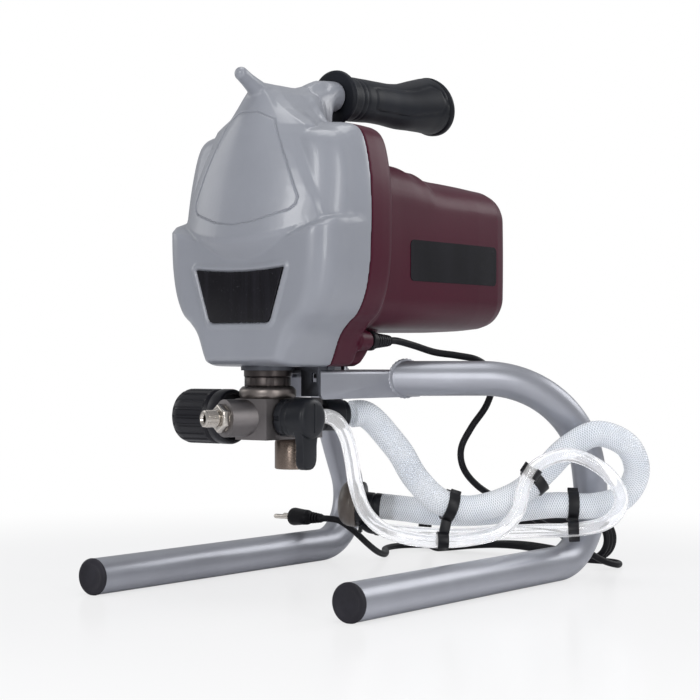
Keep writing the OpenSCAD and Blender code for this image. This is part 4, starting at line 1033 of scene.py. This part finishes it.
def lobeBody():
    rings = []
    for y, halfWidth, low in ((-70, 37, 199), (-42, 36.5, 199.2), (-38, 36, 200.5), (-30, 35.5, 207),
                              (-16, 35, 222), (-6, 34, 232), (0, 33, 240)):
        rings.append([(x, y, z) for x, z in (
            (halfWidth, 262), (halfWidth, low + 7), (halfWidth - 2, low + 2.4), (halfWidth - 7, low),
            (-halfWidth + 7, low), (-halfWidth + 2, low + 2.4), (-halfWidth, low + 7), (-halfWidth, 262))])
    return lofted(rings)


# How far the barrel's top stands above its sections, along y
barrelLift = [(-62, 9), (-30, 9), (0, 8), (20, 4.6), (27, 4.4), (42, -0.6), (60, -1.8), (171, -1.8)]


# A smooth value from a table of places and values, level wherever the table turns
def between(table, where):
    steps = [(q[1] - p[1]) / (q[0] - p[0]) for p, q in zip(table, table[1:])]
    slopes = [0.0] + [2 * m * n / (m + n) if m * n > 0 else 0.0 for m, n in zip(steps, steps[1:])] + [0.0]
    for k, ((start, low), (end, high)) in enumerate(zip(table, table[1:])):
        if where <= end:
            span = end - start
            t = max(0.0, min(1.0, (where - start) / span))
            return (low * (1 + 2 * t) * (1 - t) ** 2 + slopes[k] * span * t * (1 - t) ** 2
                    + high * t * t * (3 - 2 * t) + slopes[k + 1] * span * t * t * (t - 1))
    return table[-1][1]


# Two long facets along the barrel's upper flanks, which catch the light
facet = {"aside": 41, "height": 366, "lift": 1.4}


def facetRidge(piece):
    for vertex in piece.data.vertices:
        x, y, z = vertex.co / mm
        if y < -62 or y > 171 or z < 325:
            continue
        raised = between(barrelLift, y) * step(330, 362, z)
        vertex.co.z += raised * mm
        z += raised
        lift = math.exp(-((abs(x) - facet["aside"]) / 5.0) ** 2) * math.exp(-((z - facet["height"]) / 9) ** 2)
        fade = step(-62, -40, y) * step(150, 60, y)
        vertex.co += Vector((math.copysign(0.7, x), 0, 0.9)) * (lift * fade * facet["lift"] * mm)
    piece.data.update()


def makeHousing():
    boss = standAt(turned([(10.2, 0), (9.2, 12), (8.8, 18.4), (8, 20)], 32), housing["boss"], yWay)
    piece = moulded([flangeBody(), barrelBody(), lobeBody(), boss], housing["voxel"], 5)
    facetRidge(piece)
    vents = [housing["ventLow"] + housing["ventStep"] * i for i in range(housing["vents"])]
    slots = [block((-34, 164, low), (34, 176, low + housing["ventGap"])) for low in vents]
    pocket = rounded(block((-11, 160, 321), (11, 176, 351)), 1.5)
    cut(piece, *slots, pocket)
    return finished(piece, "rearHousing", housingMaroon, swaps=["rear_housing"],
                    angle=50)


makeHousing()
print("housing made")


# ---- tools for the smaller pieces ----

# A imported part's own shape with its edges broken, for machined pieces
def beveledCopy(nodeName, name, material, width, body="sprayer"):
    node = bpy.data.objects[nodeName]
    mesh = node.data.copy()
    mesh.transform(node.matrix_world)
    piece = bpy.data.objects.new(name, mesh)
    scene.collection.objects.link(piece)
    cleaned(piece)
    activate(piece)
    editAll()
    bpy.ops.mesh.dissolve_limited(angle_limit=math.radians(2))
    leaveEdit()
    rounded(piece, width, 2, 35)
    return finished(piece, name, material, body, swaps=[nodeName])


# A flat outline of (x, y) points pulled up along Z from low to high, with rounded edges
def plate(outline, low, high, edge):
    return rounded(lofted([[(x, y, z) for x, y in outline] for z in (low, high)]), edge, 3, 40)


def arcPoints(centre, radius, start, end, count):
    turns = [math.radians(start + (end - start) * i / count) for i in range(count + 1)]
    return [(centre[0] + radius * math.cos(a), centre[1] + radius * math.sin(a)) for a in turns]


# Grooves along a turned piece that still stands on the origin
def fluted(piece, count, depth, low, high, share):
    for vertex in piece.data.vertices:
        x, y, z = vertex.co / mm
        radius = math.hypot(x, y)
        if radius < 4 or z < low or z > high:
            continue
        if (math.atan2(y, x) / math.tau * count + 0.5 * share) % 1 < share:
            vertex.co.x *= (radius - depth) / radius
            vertex.co.y *= (radius - depth) / radius
    piece.data.update()
    return piece


# ---- stand ----

stand = {"tube": 32, "front": -197, "capFront": -200, "legX": 138.5, "rear": 200, "splay": 14, "lean": 62,
         "rail": 188, "floorBend": 54, "topBend": 114, "weld": (41, 22, 188)}
bracket = {"half": 41, "top": 196, "low": 171, "thick": 3, "front": -106, "rear": 46,
           "bite": (0, -127, 180), "biteRadius": 22}


# The arc that rounds a corner of the tube's line
def bendPoints(before, corner, after, radius, steps):
    toward, away = (before - corner).normalized(), (after - corner).normalized()
    half = toward.angle(away) / 2
    start = corner + toward * radius / math.tan(half)
    centre = corner + (toward + away).normalized() * radius / math.sin(half)
    turn = math.pi - 2 * half
    turns = [turn * i / steps for i in range(steps + 1)]
    return [centre + (start - centre) * math.cos(a) - toward * radius * math.sin(a) for a in turns]


# The line of a leg: straight along the floor, up the bend and in to the weld; and its last direction
def legLine():
    tube = stand["tube"] / 2
    upright = Vector((stand["splay"], -stand["lean"], stand["rail"] - tube))
    tangent = stand["floorBend"] / math.tan(math.acos(stand["lean"] / upright.length) / 2)
    first = Vector((stand["legX"], stand["front"], tube))
    floorCorner = Vector((stand["legX"], stand["rear"] - tube - stand["floorBend"] + tangent, tube))
    topCorner = floorCorner + upright
    weld = Vector(stand["weld"])
    last = weld + (weld - topCorner).normalized() * 48  # runs on into the bracket's room and is cut off there
    corners = (bendPoints(first, floorCorner, topCorner, stand["floorBend"], 28)
               + bendPoints(floorCorner, topCorner, last, stand["topBend"], 36))
    straight = [first + (corners[0] - first) * i / 30 for i in range(30)]
    return straight + corners + [last], (topCorner - weld).normalized()


# The bead where the cut tube meets the bracket's side
def weldBead(way):
    clearSelection()
    bpy.ops.mesh.primitive_torus_add(major_radius=(stand["tube"] / 2 + 0.4) * mm, minor_radius=1.7 * mm,
                                     major_segments=96, minor_segments=12)
    bead = bpy.context.object
    for vertex in bead.data.vertices:
        vertex.co *= 1 + 0.02 * math.sin(math.atan2(vertex.co.y, vertex.co.x) * 30)
    standAt(bead, stand["weld"], way)
    weld = Vector(stand["weld"]) * mm
    across = (xWay - way * xWay.dot(way)) / way.x
    for vertex in bead.data.vertices:
        vertex.co -= way * across.dot(vertex.co - weld)
    bead.data.update()
    return bead


def makeLeg(name, node, side):
    line, way = legLine()
    leg = sweptTube(line, stand["tube"] / 2, 64)
    cut(leg, block((-40.5, -100, 100), (40.5, 200, 260)))  # the bracket's room
    leg = joined(leg, weldBead(way))
    if side < 0:
        leg.data.transform(Matrix.Diagonal((-1, 1, 1, 1)))
        cleaned(leg)
    return finished(leg, name, standSilver, swaps=[node], angle=35)


def makeCaps():
    caps = []
    for side in (1, -1):
        cap = turned([(6, 0.7), (10.5, 0.55), (11.2, 0.1), (14.2, 0), (15.3, 0.4), (16.1, 1.4), (16.3, 2.4),
                      (16.2, 3), (15.4, 3.4), (13.4, 3.5), (13.4, 13), (12.6, 14)], 64)
        caps.append(standAt(cap, (side * stand["legX"], stand["capFront"], stand["tube"] / 2), yWay))
    return finished(joined(*caps), "legCaps", capRubber, swaps=["leg_caps"], angle=35)


def makeBracket():
    half, top, low, thick = [bracket[key] for key in ("half", "top", "low", "thick")]
    outer = arcPoints((half - 4, top - 4), 4, 0, 90, 5) + arcPoints((-half + 4, top - 4), 4, 90, 180, 5)
    section = [(half, low)] + outer + [(-half, low), (-half + thick, low), (-half + thick, top - 4),
                                       (-half + 4, top - thick), (half - 4, top - thick),
                                       (half - thick, top - 4), (half - thick, low)]
    channel = lofted([[(x, y, z) for x, z in section] for y in (bracket["front"], bracket["rear"])])
    bite = moved(turned([(bracket["biteRadius"], 0), (bracket["biteRadius"], 40)], 64), *bracket["bite"])
    arc = [(y, z) for y, z in arcPoints((-100, low + 6), 6, 270, 180, 6)]
    notch = lofted([[(x, y, z) for y, z in [(-108, low - 1), (-100, low - 1)] + arc + [(-108, low + 6)]]
                    for x in (-60, 60)])
    cut(channel, bite, notch)
    rounded(channel, 0.7, 2, 40)
    return finished(channel, "mountBracket", standSilver, swaps=["mount_bracket"],
                    angle=35)


makeLeg("standLegRight", "stand_leg_right", 1)
makeLeg("standLegLeft", "stand_leg_left", -1)
makeCaps()
makeBracket()
beveledCopy("bracket_bolts", "bracketBolts", boltSteel, 0.6)
print("stand made")


# ---- handle grip ----

grip = {
    "profile": [(14.6, 0.4), (21.6, 0), (23.4, 0.5), (24.4, 1.8), (24.6, 3.2), (24.0, 4.6), (22.6, 5.4),
                (21.2, 6.2), (20.6, 8), (20.3, 12), (20.2, 17), (20.1, 20), (19.7, 20.9), (19.7, 21.5),
                (20.1, 22.4), (20.1, 25), (20.1, 27), (19.7, 27.9), (19.7, 28.5), (20, 29.4), (19.9, 33),
                (19.8, 40)],
    "body": [(40, 19.8), (56, 19.4), (74, 19.5), (92, 20.6), (108, 22.2), (124, 24.0), (138, 25.4),
             (149, 26.4)],
    "end": [(26.6, 150.6), (26.0, 151.8), (26.0, 152.6), (27.2, 153.6), (27.8, 155.6), (27.4, 158.2),
            (25.8, 160.6), (22.8, 162), (16, 162.6), (6, 162.8)],
    "lift": [(0, 0), (50, 0), (96, -1.3), (126, 1.2), (146, 2.2), (168, 1.6)],
    "panel": [(41, 9), (50, 11), (84, 11.5), (115, 14.5), (134, 18), (145, 13), (147, 0), (141, -9),
              (100, -11.5), (50, -11), (41, -9)],
}


def makeGrip():
    middle = [(between(grip["body"], 40 + 1.6 * i), 40 + 1.6 * i) for i in range(1, 68)]
    piece = turned(grip["profile"] + middle + grip["end"], 96)
    for vertex in piece.data.vertices:
        x, y, z = vertex.co / mm
        radius = math.hypot(x, y)
        if radius > 15 and 39 < z < 150:
            side = step(8, 13, abs(x))
            groove = math.exp(-(distanceTo(grip["panel"], z, y) / 0.9) ** 2)
            share = (radius - 0.9 * side * groove) / radius
            vertex.co.x *= share
            vertex.co.y *= share
        slant = step(118, 166, z) * 0.3
        vertex.co.z -= vertex.co.y * slant
        vertex.co.y += between(grip["lift"], z) * mm * (1 if radius > 15 else 0.4)
    piece.data.update()
    standAt(piece, onHandle(handle["gripFront"]), handleWay, side=-xWay)
    return finished(piece, "handleGrip", gripRubber, swaps=["handle_grip"], angle=38)


core = {"front": -48, "rear": 125, "radius": 11, "edge": 1.4}


def makeCore():
    front, rear, radius, edge = core.values()
    piece = turned([(0.5, front), (radius - edge, front), (radius, front + edge), (radius, rear - edge),
                    (radius - edge, rear), (0.5, rear)])
    standAt(piece, onHandle(0), handleWay)
    return finished(piece, "handleCore", gunMetal, swaps=["handle_core"], angle=30)


makeGrip()
makeCore()
print("grip made")


# ---- pump ----

pump = {"place": (0, -127), "axisZ": 155.6, "branchTurn": 20, "branchLength": 43, "inlet": (0, -92)}
branchTurn = math.radians(pump["branchTurn"])
branchWay = Vector((-math.sin(branchTurn), -math.cos(branchTurn), 0))


# The place at x on the level axis that the knob and the prime valve share
def onAxis(x):
    return (x, pump["place"][1], pump["axisZ"])


def makePumpRing(name, node, profile, sides, material, flutes=None):
    ring = turnedRing(profile, sides)
    if flutes:
        fluted(ring, *flutes)
    finished(moved(ring, *pump["place"], 0), name, material, swaps=[node], angle=32)


def makePumpStack():
    makePumpRing("pumpCylinder", "pump_cylinder", [
        (12.4, 172.2), (15.8, 172.2), (15.8, 190.6), (20, 190.6), (20.5, 191.2), (20.5, 196.2), (20.1, 196.6),
        (20.1, 197.3), (20.5, 197.7), (20.5, 208), (20, 209.4), (12.4, 209.4)], 72, stackDark)
    makePumpRing("jamRing", "jam_ring", [
        (16.1, 182.6), (19.2, 182.6), (19.8, 183.2), (19.8, 189.6), (19.3, 190.4), (16.1, 190.4)],
        96, stackDark, (8, 1.2, 183, 186, 0.2))
    makePumpRing("pumpCollar", "pump_collar", [
        (16.1, 172.1), (22.6, 172.1), (23.6, 172.8), (24.5, 174.4), (24.5, 178.8), (23.9, 180), (22, 182),
        (21, 182.4), (16.1, 182.4)], 72, stackBrown)


# The outlet's six-sided nut with its washer, and the threaded tip
def makeNipple():
    start = Vector(onAxis(0)) + branchWay * pump["branchLength"]
    face = turned([(11.5, 0), (12.4, 0.7), (12.4, 6), (11.3, 7)], 6)
    washer = turned([(10.8, -0.6), (11.2, -0.2), (11.2, 0.8)])
    thread = [(3, -12), (5.8, -12), (5.8, 7), (6.4, 7.2), (6.4, 8.2)]
    for low in [8.8 + 1.34 * i for i in range(7)]:
        thread += [(7.3, low), (7.3, low + 0.4), (6.7, low + 0.9), (6.7, low + 1.1)]
    thread += [(7.0, 18.4), (7.0, 19.4), (6.0, 20.1), (4.6, 20.1), (3.3, 18.4)]
    tip = turnedRing(thread)
    nut = rounded(cutBore(face), 0.5, 2, 40)
    piece = joined(nut, cutBore(washer), tip)
    standAt(piece, start, branchWay)
    return finished(piece, "outletNipple", brightNickel, swaps=["outlet_nipple"],
                    angle=32)


def cutBore(piece):
    return cut(piece, turned([(5.7, -20), (5.7, 20)]))


def makeInlet():
    piece = turnedRing([(12, 110), (15.2, 110), (16, 110.8), (16, 133.2), (15.4, 135.2), (14, 136.5),
                        (12.6, 136.9), (8.4, 136.9), (8.4, 114), (12, 114)], 72)
    moved(piece, *pump["inlet"], 0)
    return finished(piece, "inletHousing", inletSteel, swaps=["inlet_housing"],
                    angle=32)


def makeKnob():
    face = [(17.5, 0.3), (19, 0), (20.8, 0.2), (22.2, 1), (23, 2.4), (23.6, 4.4)]
    side = [(24, 6 + 3 * i) for i in range(10)] + [(24, 35.4), (24, 36.8), (23.6, 38), (22.7, 38.8)]
    rim = [(22.4, 39.6), (22.6, 40.4), (23.6, 41.2), (24, 42.2), (24, 50.6), (23.4, 52.2), (22, 53),
           (20, 52.8), (19.2, 49.6)]
    skirt = fluted(turned(face + side + rim, 160), 20, 1.1, 2.0, 35.6, 0.26)
    cut(skirt, turned([(15.4, -3), (15.4, 0.9)], 64))
    standAt(skirt, onAxis(-91), xWay)
    return finished(skirt, "pressureKnob", knobBlack, "pressure_knob", swaps=["pressure_knob"],
                    angle=32)


def makePrimeCollar():
    ring = turned([(15.2, 0), (16, 0.6), (16, 6.4), (15.9, 6.6), (15.2, 7.2), (15.2, 7.9), (16, 8.4),
                   (16, 12.6), (15.5, 13.4)], 96)
    fluted(ring, 6, 1.1, -0.1, 6.5, 0.16)
    standAt(ring, onAxis(18), xWay)
    barb = [(4.3, 0)]
    for low in range(3, 28, 5):
        barb += [(4.4, low), (5.0, low + 0.1), (4.3, low + 3.5)]
    barb += [(4.3, 29), (3.8, 29.6)]
    stem = standAt(turned(barb, 32), (24, -114, pump["axisZ"]), yWay)
    piece = joined(ring, stem)
    return finished(piece, "primeValveBody", valveBlack, swaps=["prime_valve_body"],
                    angle=32)


def makePrimeLever():
    drum = turned([(16.6, 0), (17.2, 0.5), (17.3, 1.2), (17.3, 14.4), (17.2, 15.6), (16.7, 16.8),
                   (15.6, 17.9), (13.6, 18.7), (10.6, 19.1), (7, 19.2)], 96)
    standAt(drum, onAxis(31.8), xWay)
    half, reach = 9.4, 43.4
    outline = arcPoints((0, 0), 17.0, -34, 214, 40)
    outline += [(-half - 0.9, -17.6), (-half, -23), (-half, -reach + 7), (-half + 0.6, -reach + 3.6),
                (-half + 2.6, -reach + 1.2), (-half + 5.5, -reach), (half - 8.5, -reach),
                (half - 5, -reach + 0.9), (half - 2, -reach + 3.4), (half - 0.4, -reach + 7.4),
                (half, -reach + 12), (half, -23), (half + 0.9, -17.6)]
    paddle = standAt(plate(outline, 0, 9, 1.3), onAxis(37.2), xWay, side=yWay)
    ridge = rounded(block((50.4, -127.8, 143), (51.6, -126.2, 168.2)), 0.5, 2)
    return finished(joined(drum, paddle, ridge), "primeLever", valveBlack, "prime_lever",
                    swaps=["prime_lever"], angle=32)


def makeSuctionFitting():
    turn = math.radians(25)  # the elbow looks back and outwards
    way = Vector((math.sin(turn), math.cos(turn), 0))
    start = (0, -72, 156.6)
    elbow = standAt(turned([(9, -1.5), (9, 13), (10, 15)], 40), start, way)
    nut = turned([(12.6, 13.6), (13.8, 14), (14.5, 15), (14.5, 31), (13.9, 32.4), (12.6, 33.2), (12.4, 33.8),
                  (12.4, 37), (11.6, 38.2)], 96)
    fluted(nut, 12, 0.9, 15.5, 30.4, 0.3)
    standAt(nut, start, way)
    piece = joined(elbow, nut)
    return finished(piece, "suctionFitting", valveBlack, swaps=["suction_fitting"],
                    angle=32)


makePumpStack()
beveledCopy("manifold", "manifoldBlock", castNickel, 0.8)
beveledCopy("drive_housing", "driveHousing", castDark, 0.5)
beveledCopy("pressure_control", "pressureControl", nickel, 0.8)
makeNipple()
makeInlet()
makeKnob()
makePrimeCollar()
makePrimeLever()
makeSuctionFitting()
print("pump made")


# ---- clips and strainer ----

# "at" holds where each clip sits: the point of the hose's route, and that of the drain's
clips = {"at": [(6, 8), (9, 12), (16, 18)], "width": 10, "thick": 2, "slack": 0.15}
strainer = {"place": (-8, 54, 67), "way": (-20, -9, 2)}


# A spring ring, open by the mouth's angle to each side of +X, with lips turned out
def openRing(radius, thick, mouth, width):
    outer = arcPoints((0, 0), radius + thick, mouth, 360 - mouth, 40)
    inner = arcPoints((0, 0), radius, 360 - mouth, mouth, 40)
    turn = math.radians(mouth - 9)
    lip = [((radius + share * thick) * math.cos(turn), (radius + share * thick) * math.sin(turn))
           for share in (1.2, 2.4)]
    outline = lip + outer + [(x, -y) for x, y in reversed(lip)] + inner
    return plate(outline, -width / 2, width / 2, 0.4)


# The stretch of a route from one of its points to the next
def stretch(cord, index):
    return [Vector(p) for p in cord["route"][index:index + 2]]


def nearest(line, place):
    return min(line, key=lambda p: (p - place).length)


def makeClips():
    parts = []
    hoseRadius, drainRadius = hose["diameter"] / 2, drain["diameter"] / 2
    for hoseIndex, drainIndex in clips["at"]:
        before, after = stretch(hose, hoseIndex)
        middle = (before + after) / 2
        way = (after - before).normalized()
        a, b = stretch(drain, drainIndex)
        other = nearest(drainLine, a + (b - a) * ((middle - a).dot(way) / (b - a).dot(way)))
        middle = nearest(hoseLine, middle)
        across = (other - middle).normalized()
        big = openRing(hoseRadius + clips["slack"], clips["thick"], 38, clips["width"])
        standAt(big, middle, way, side=-across)
        small = openRing(drainRadius + clips["slack"], clips["thick"], 48, clips["width"])
        standAt(small, other, (b - a).normalized(), side=across)
        gap = (other - middle).length - hoseRadius - drainRadius
        post = rounded(block((-4.4, -2.6, 0), (4.4, 2.6, max(gap, 2) - 0.6)), 0.6)
        standAt(post, middle + across * (hoseRadius + 0.3), across, side=way)
        parts += [big, small, post]
    return finished(joined(*parts), "hoseClips", blackPlastic, swaps=["hose_clips"],
                    angle=35)


def makeStrainer():
    way = Vector(strainer["way"]).normalized()
    place = Vector(strainer["place"])
    neck = turned([(9.2, -12), (9.2, 0), (11.6, 0.4), (12, 1.2), (12, 6), (11.2, 6.6), (11.2, 7.4), (12, 8),
                   (12, 15.6), (13.2, 17), (19, 17.2), (20.4, 18), (21, 19.2), (21, 21.4), (20.4, 22)], 72)
    fluted(neck, 24, 0.9, 18.5, 22, 0.4)
    standAt(neck, place, way)
    foot = place + way * 20
    tabUp = rounded(block((-3.2, 18, -3), (3.2, 27, 0.4)), 0.8)
    standAt(tabUp, foot, way, side=way.cross(zWay))
    drainEnd, beforeEnd = drainLine[-1], drainLine[-3]
    tailWay = (drainEnd - beforeEnd).normalized()
    barb = turned([(4.2, -9), (4.4, -8), (4.4, 0), (6.6, 0.3), (6.9, 1.2), (6.9, 4), (5.4, 5), (5.2, 12),
                   (4.2, 13.4)], 36)
    standAt(barb, drainEnd, tailWay)
    webStart, webEnd = drainEnd + tailWay * 6, foot - zWay * 17
    web = alongLine([webStart, (webStart + webEnd) / 2 + Vector((-2, -1, -3)), webEnd], [4.2, 3.6, 4.4], 16)
    body = finished(joined(neck, tabUp, barb, web), "strainerElbow", valveBlack, swaps=["strainer_elbow"],
                    angle=35)
    dome = turned([(21.6, 21.9), (22.2, 22.6), (22.2, 25.4), (21.9, 26), (22.2, 26.8), (22.2, 29),
                   (21.7, 31.6), (20.6, 34.2), (18.8, 36.6), (16.2, 38.6), (13, 39.9), (9.4, 40.5),
                   (8.8, 40.3), (7, 40.3)], 72)
    standAt(dome, place, way)
    cup = finished(dome, "strainerCup", strainerBrown, swaps=["strainer_cup"],
                   angle=40)
    return body, cup


clipPiece = makeClips()
strainerBody, strainerDome = makeStrainer()
print("clips made")


# ---- mains side, switch and labels ----

gland = {"place": (46, -64, 222)}
plug = {"place": (-118, 105, 46), "pinAside": 7, "flat": 0.82}


def makeGland():
    ribs = [(5.9, 0), (5.9, 19), (8.4, 19.6), (9, 20.4), (9, 24), (8.4, 24.8), (7.4, 25.2)]
    for i in range(6):
        wide, low = 7.3 - 0.38 * i, 26 + 4 * i
        ribs += [(wide, low), (wide, low + 2.2), (wide - 1.3, low + 2.6), (wide - 1.3, low + 3.6)]
    ribs += [(4.9, 50), (4.9, 51.4), (4.2, 52)]
    piece = standAt(turned(ribs, 40), gland["place"], yWay)
    return finished(piece, "cordGland", cordRubber, swaps=["cord_gland"], angle=30)


def makePlug():
    shape = [(3.4, -2), (4.2, 0)]
    for i in range(4):
        wide, low = 4.6 + 0.4 * i, 1 + 3.2 * i
        shape += [(wide, low), (wide, low + 1.6), (wide - 0.9, low + 1.9), (wide - 0.9, low + 2.9)]
    shape += [(6.4, 14.4), (8.2, 15.6), (9.2, 18), (9.6, 24), (10.6, 31), (11, 34), (10.7, 35.6), (9.6, 36.1)]
    body = turned(shape)
    for vertex in body.data.vertices:
        if vertex.co.z > 13 * mm:
            vertex.co.y *= plug["flat"]
    body.data.update()
    standAt(body, plug["place"], -xWay, side=yWay)
    plugPiece = finished(body, "plugBody", cordRubber, swaps=["plug_body"], angle=35)
    pins = []
    for side in (1, -1):
        pin = turned([(2.4, 34), (2.4, 52.6), (2.2, 53.8), (1.5, 54.7), (0.4, 55)], 24)
        standAt(pin, Vector(plug["place"]) + yWay * side * plug["pinAside"], -xWay)
        pins.append(pin)
    pinPiece = finished(joined(*pins), "plugPins", brightNickel, swaps=["plug_pins"],
                        angle=35)
    return plugPiece, pinPiece


# A dark film laid on each side of the barrel, a hair proud of it
sideLabel = {"front": -6, "length": 148, "middle": 294, "height": 37, "corner": 5}


def makeSideLabels():
    films = []
    front, length, middle, height, corner = sideLabel.values()
    steps = [corner * (1 - math.cos(math.radians(15 * i))) for i in range(7)]
    straight = [corner + (length - 2 * corner) * i / 12 for i in range(1, 12)]
    along = steps + straight + [length - s for s in reversed(steps)]
    for side in (1, -1):
        rings = []
        for place in along:
            near = max(0.0, corner - min(place, length - place))
            inset = corner - math.sqrt(max(0, corner ** 2 - near ** 2)) * 0.98
            low, high = (middle + end * (height / 2 - inset) for end in (-1, 1))
            y = front + place
            outer = [(side * (barrelSide(y, z) + 0.4), y, z)
                     for z in [low + (high - low) * k / 12 for k in range(13)]]
            rings.append(outer + [(x - side * 1.2, y, z) for x, y, z in reversed(outer)])
        films.append(lofted(rings))
    return finished(joined(*films), "sideLabels", labelDark, swaps=["side_labels"],
                    angle=30)


makeGland()
plugPiece, pinPiece = makePlug()
makeSideLabels()
beveledCopy("switch_bezel", "switchBezel", blackPlastic, 0.25)
beveledCopy("power_rocker", "powerRocker", rockerRed, 0.25, "power_rocker")
beveledCopy("cover_screws", "coverScrews", boltSteel, 0.5)
print("small pieces made")


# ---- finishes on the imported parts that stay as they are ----

nodeFinishes = {
    "crank_bearing": boltSteel, "layshaft_bearings": boltSteel,
    "crank_gear": darkSteel, "layshaft_gear": darkSteel, "scotch_yoke": gunMetal, "piston_rod": nickel,
    "motor_plate": gunMetal, "motor_can": darkSteel, "stator_core": darkSteel, "rotor": darkSteel,
    "motor_bearings": boltSteel, "motor_end_frame": gunMetal, "brush_holders": brassBare,
    "carbon_brushes": carbonDark, "cooling_fan": fanIvory, "control_board": boardGreen,
    "rod_packing": packingWhite, "packing_nut": brassBare, "outlet_check": brassBare,
    "inlet_seat": brassBare, "inlet_ball": nickel, "pressure_stem": nickel, "prime_stem": nickel,
}


def dressNodes():
    for name, material in nodeFinishes.items():
        materials = bpy.data.objects[name].data.materials
        materials.clear()
        materials.append(material)


dressNodes()
print("packed parts dressed")


# ---- the cords' lengths and points ----

def metres(line):
    return [tuple(point * mm) for point in line]


lineLength(hoseLine) * mm
metres(hoseLine)
lineLength(drainLine) * mm
metres(drainLine)
lineLength(mainsLine) * mm
metres(mainsLine)
print("cord lengths", [round(lineLength(line)) for line in (hoseLine, drainLine, mainsLine)])


# ---- room and light ----

room = {"floor": 12, "glowFrom": 0.35, "glowTo": 0.9, "glowNear": 0.7, "airColour": (0.96, 0.97, 1, 1),
        "airStrength": 0.42}


def makeRoom():
    clearSelection()
    bpy.ops.mesh.primitive_plane_add(size=room["floor"])
    floor = bpy.context.object
    floor.name = "floor"
    paint = Finish("floorPaint")
    cloud = paint.noise(3, 3, 0.5)
    paint.set(Base_Color=paint.tint(cloud, screen(246, 246, 249), screen(250, 250, 252)),
              Roughness=0.16 + cloud * 0.05, Specular_IOR_Level=0.35)
    glow = paint.node("ShaderNodeEmission", None, {"Color": (1, 1, 1, 1), "Strength": 1.0})
    path = paint.node("ShaderNodeLightPath")
    seen = Wire(paint, path.outputs["Is Camera Ray"]).most(Wire(paint, path.outputs["Is Transmission Ray"]))
    length = paint.node("ShaderNodeVectorMath", {"operation": "LENGTH"}, {0: paint.place})
    far = Wire(paint, length.outputs["Value"]).ramp(room["glowFrom"], room["glowTo"])
    paint.show(seen * (far * (1 - room["glowNear"]) + room["glowNear"]), paint.shader, glow)
    floor.data.materials.append(paint.material)


# The object is lit by the air, and the camera sees white behind it
def makeWorld():
    world = bpy.data.worlds.new("studio")
    scene.world = world
    world.use_nodes = True
    tree = world.node_tree
    tree.nodes.clear()
    kinds = ("OutputWorld", "Background", "Background", "LightPath", "Math", "MixShader")
    output, air, white, path, either, mix = [tree.nodes.new("ShaderNode" + kind) for kind in kinds]
    air.inputs["Color"].default_value = room["airColour"]
    air.inputs["Strength"].default_value = room["airStrength"]
    white.inputs["Color"].default_value = (1, 1, 1, 1)
    either.operation = "MAXIMUM"
    tree.links.new(path.outputs["Is Camera Ray"], either.inputs[0])
    tree.links.new(path.outputs["Is Transmission Ray"], either.inputs[1])
    for k, node in enumerate((either, air, white)):
        tree.links.new(node.outputs[0], mix.inputs[k])
    tree.links.new(mix.outputs[0], output.inputs[0])


lamps = {
    # place, aimed at, width, height, watts
    "keyFront": ((0.55, -2.2, 1.0), (0, -0.1, 0.3), 0.5, 1.0, 16),
    "sideRight": ((1.9, -0.75, 0.75), (0, -0.1, 0.3), 0.35, 1.3, 10),
    "topSoft": ((0.1, 0.1, 2.0), (0, 0, 0.3), 1.4, 1.0, 13),
    "leftFill": ((-2.0, -0.6, 1.0), (0, 0, 0.3), 1.2, 1.2, 6),
    "backRim": ((0.9, 1.7, 1.1), (0, 0, 0.3), 1.2, 0.8, 8),
}


def makeLamps():
    for name, (place, aim, width, height, watts) in lamps.items():
        light = bpy.data.lights.new(name, "AREA")
        light.shape = "RECTANGLE"
        light.size, light.size_y = width, height
        light.energy = watts
        lamp = bpy.data.objects.new(name, light)
        lamp.location = place
        lamp.rotation_euler = (Vector(aim) - Vector(place)).to_track_quat("-Z", "Y").to_euler()
        scene.collection.objects.link(lamp)


makeRoom()
makeWorld()
makeLamps()
print("room and light made")
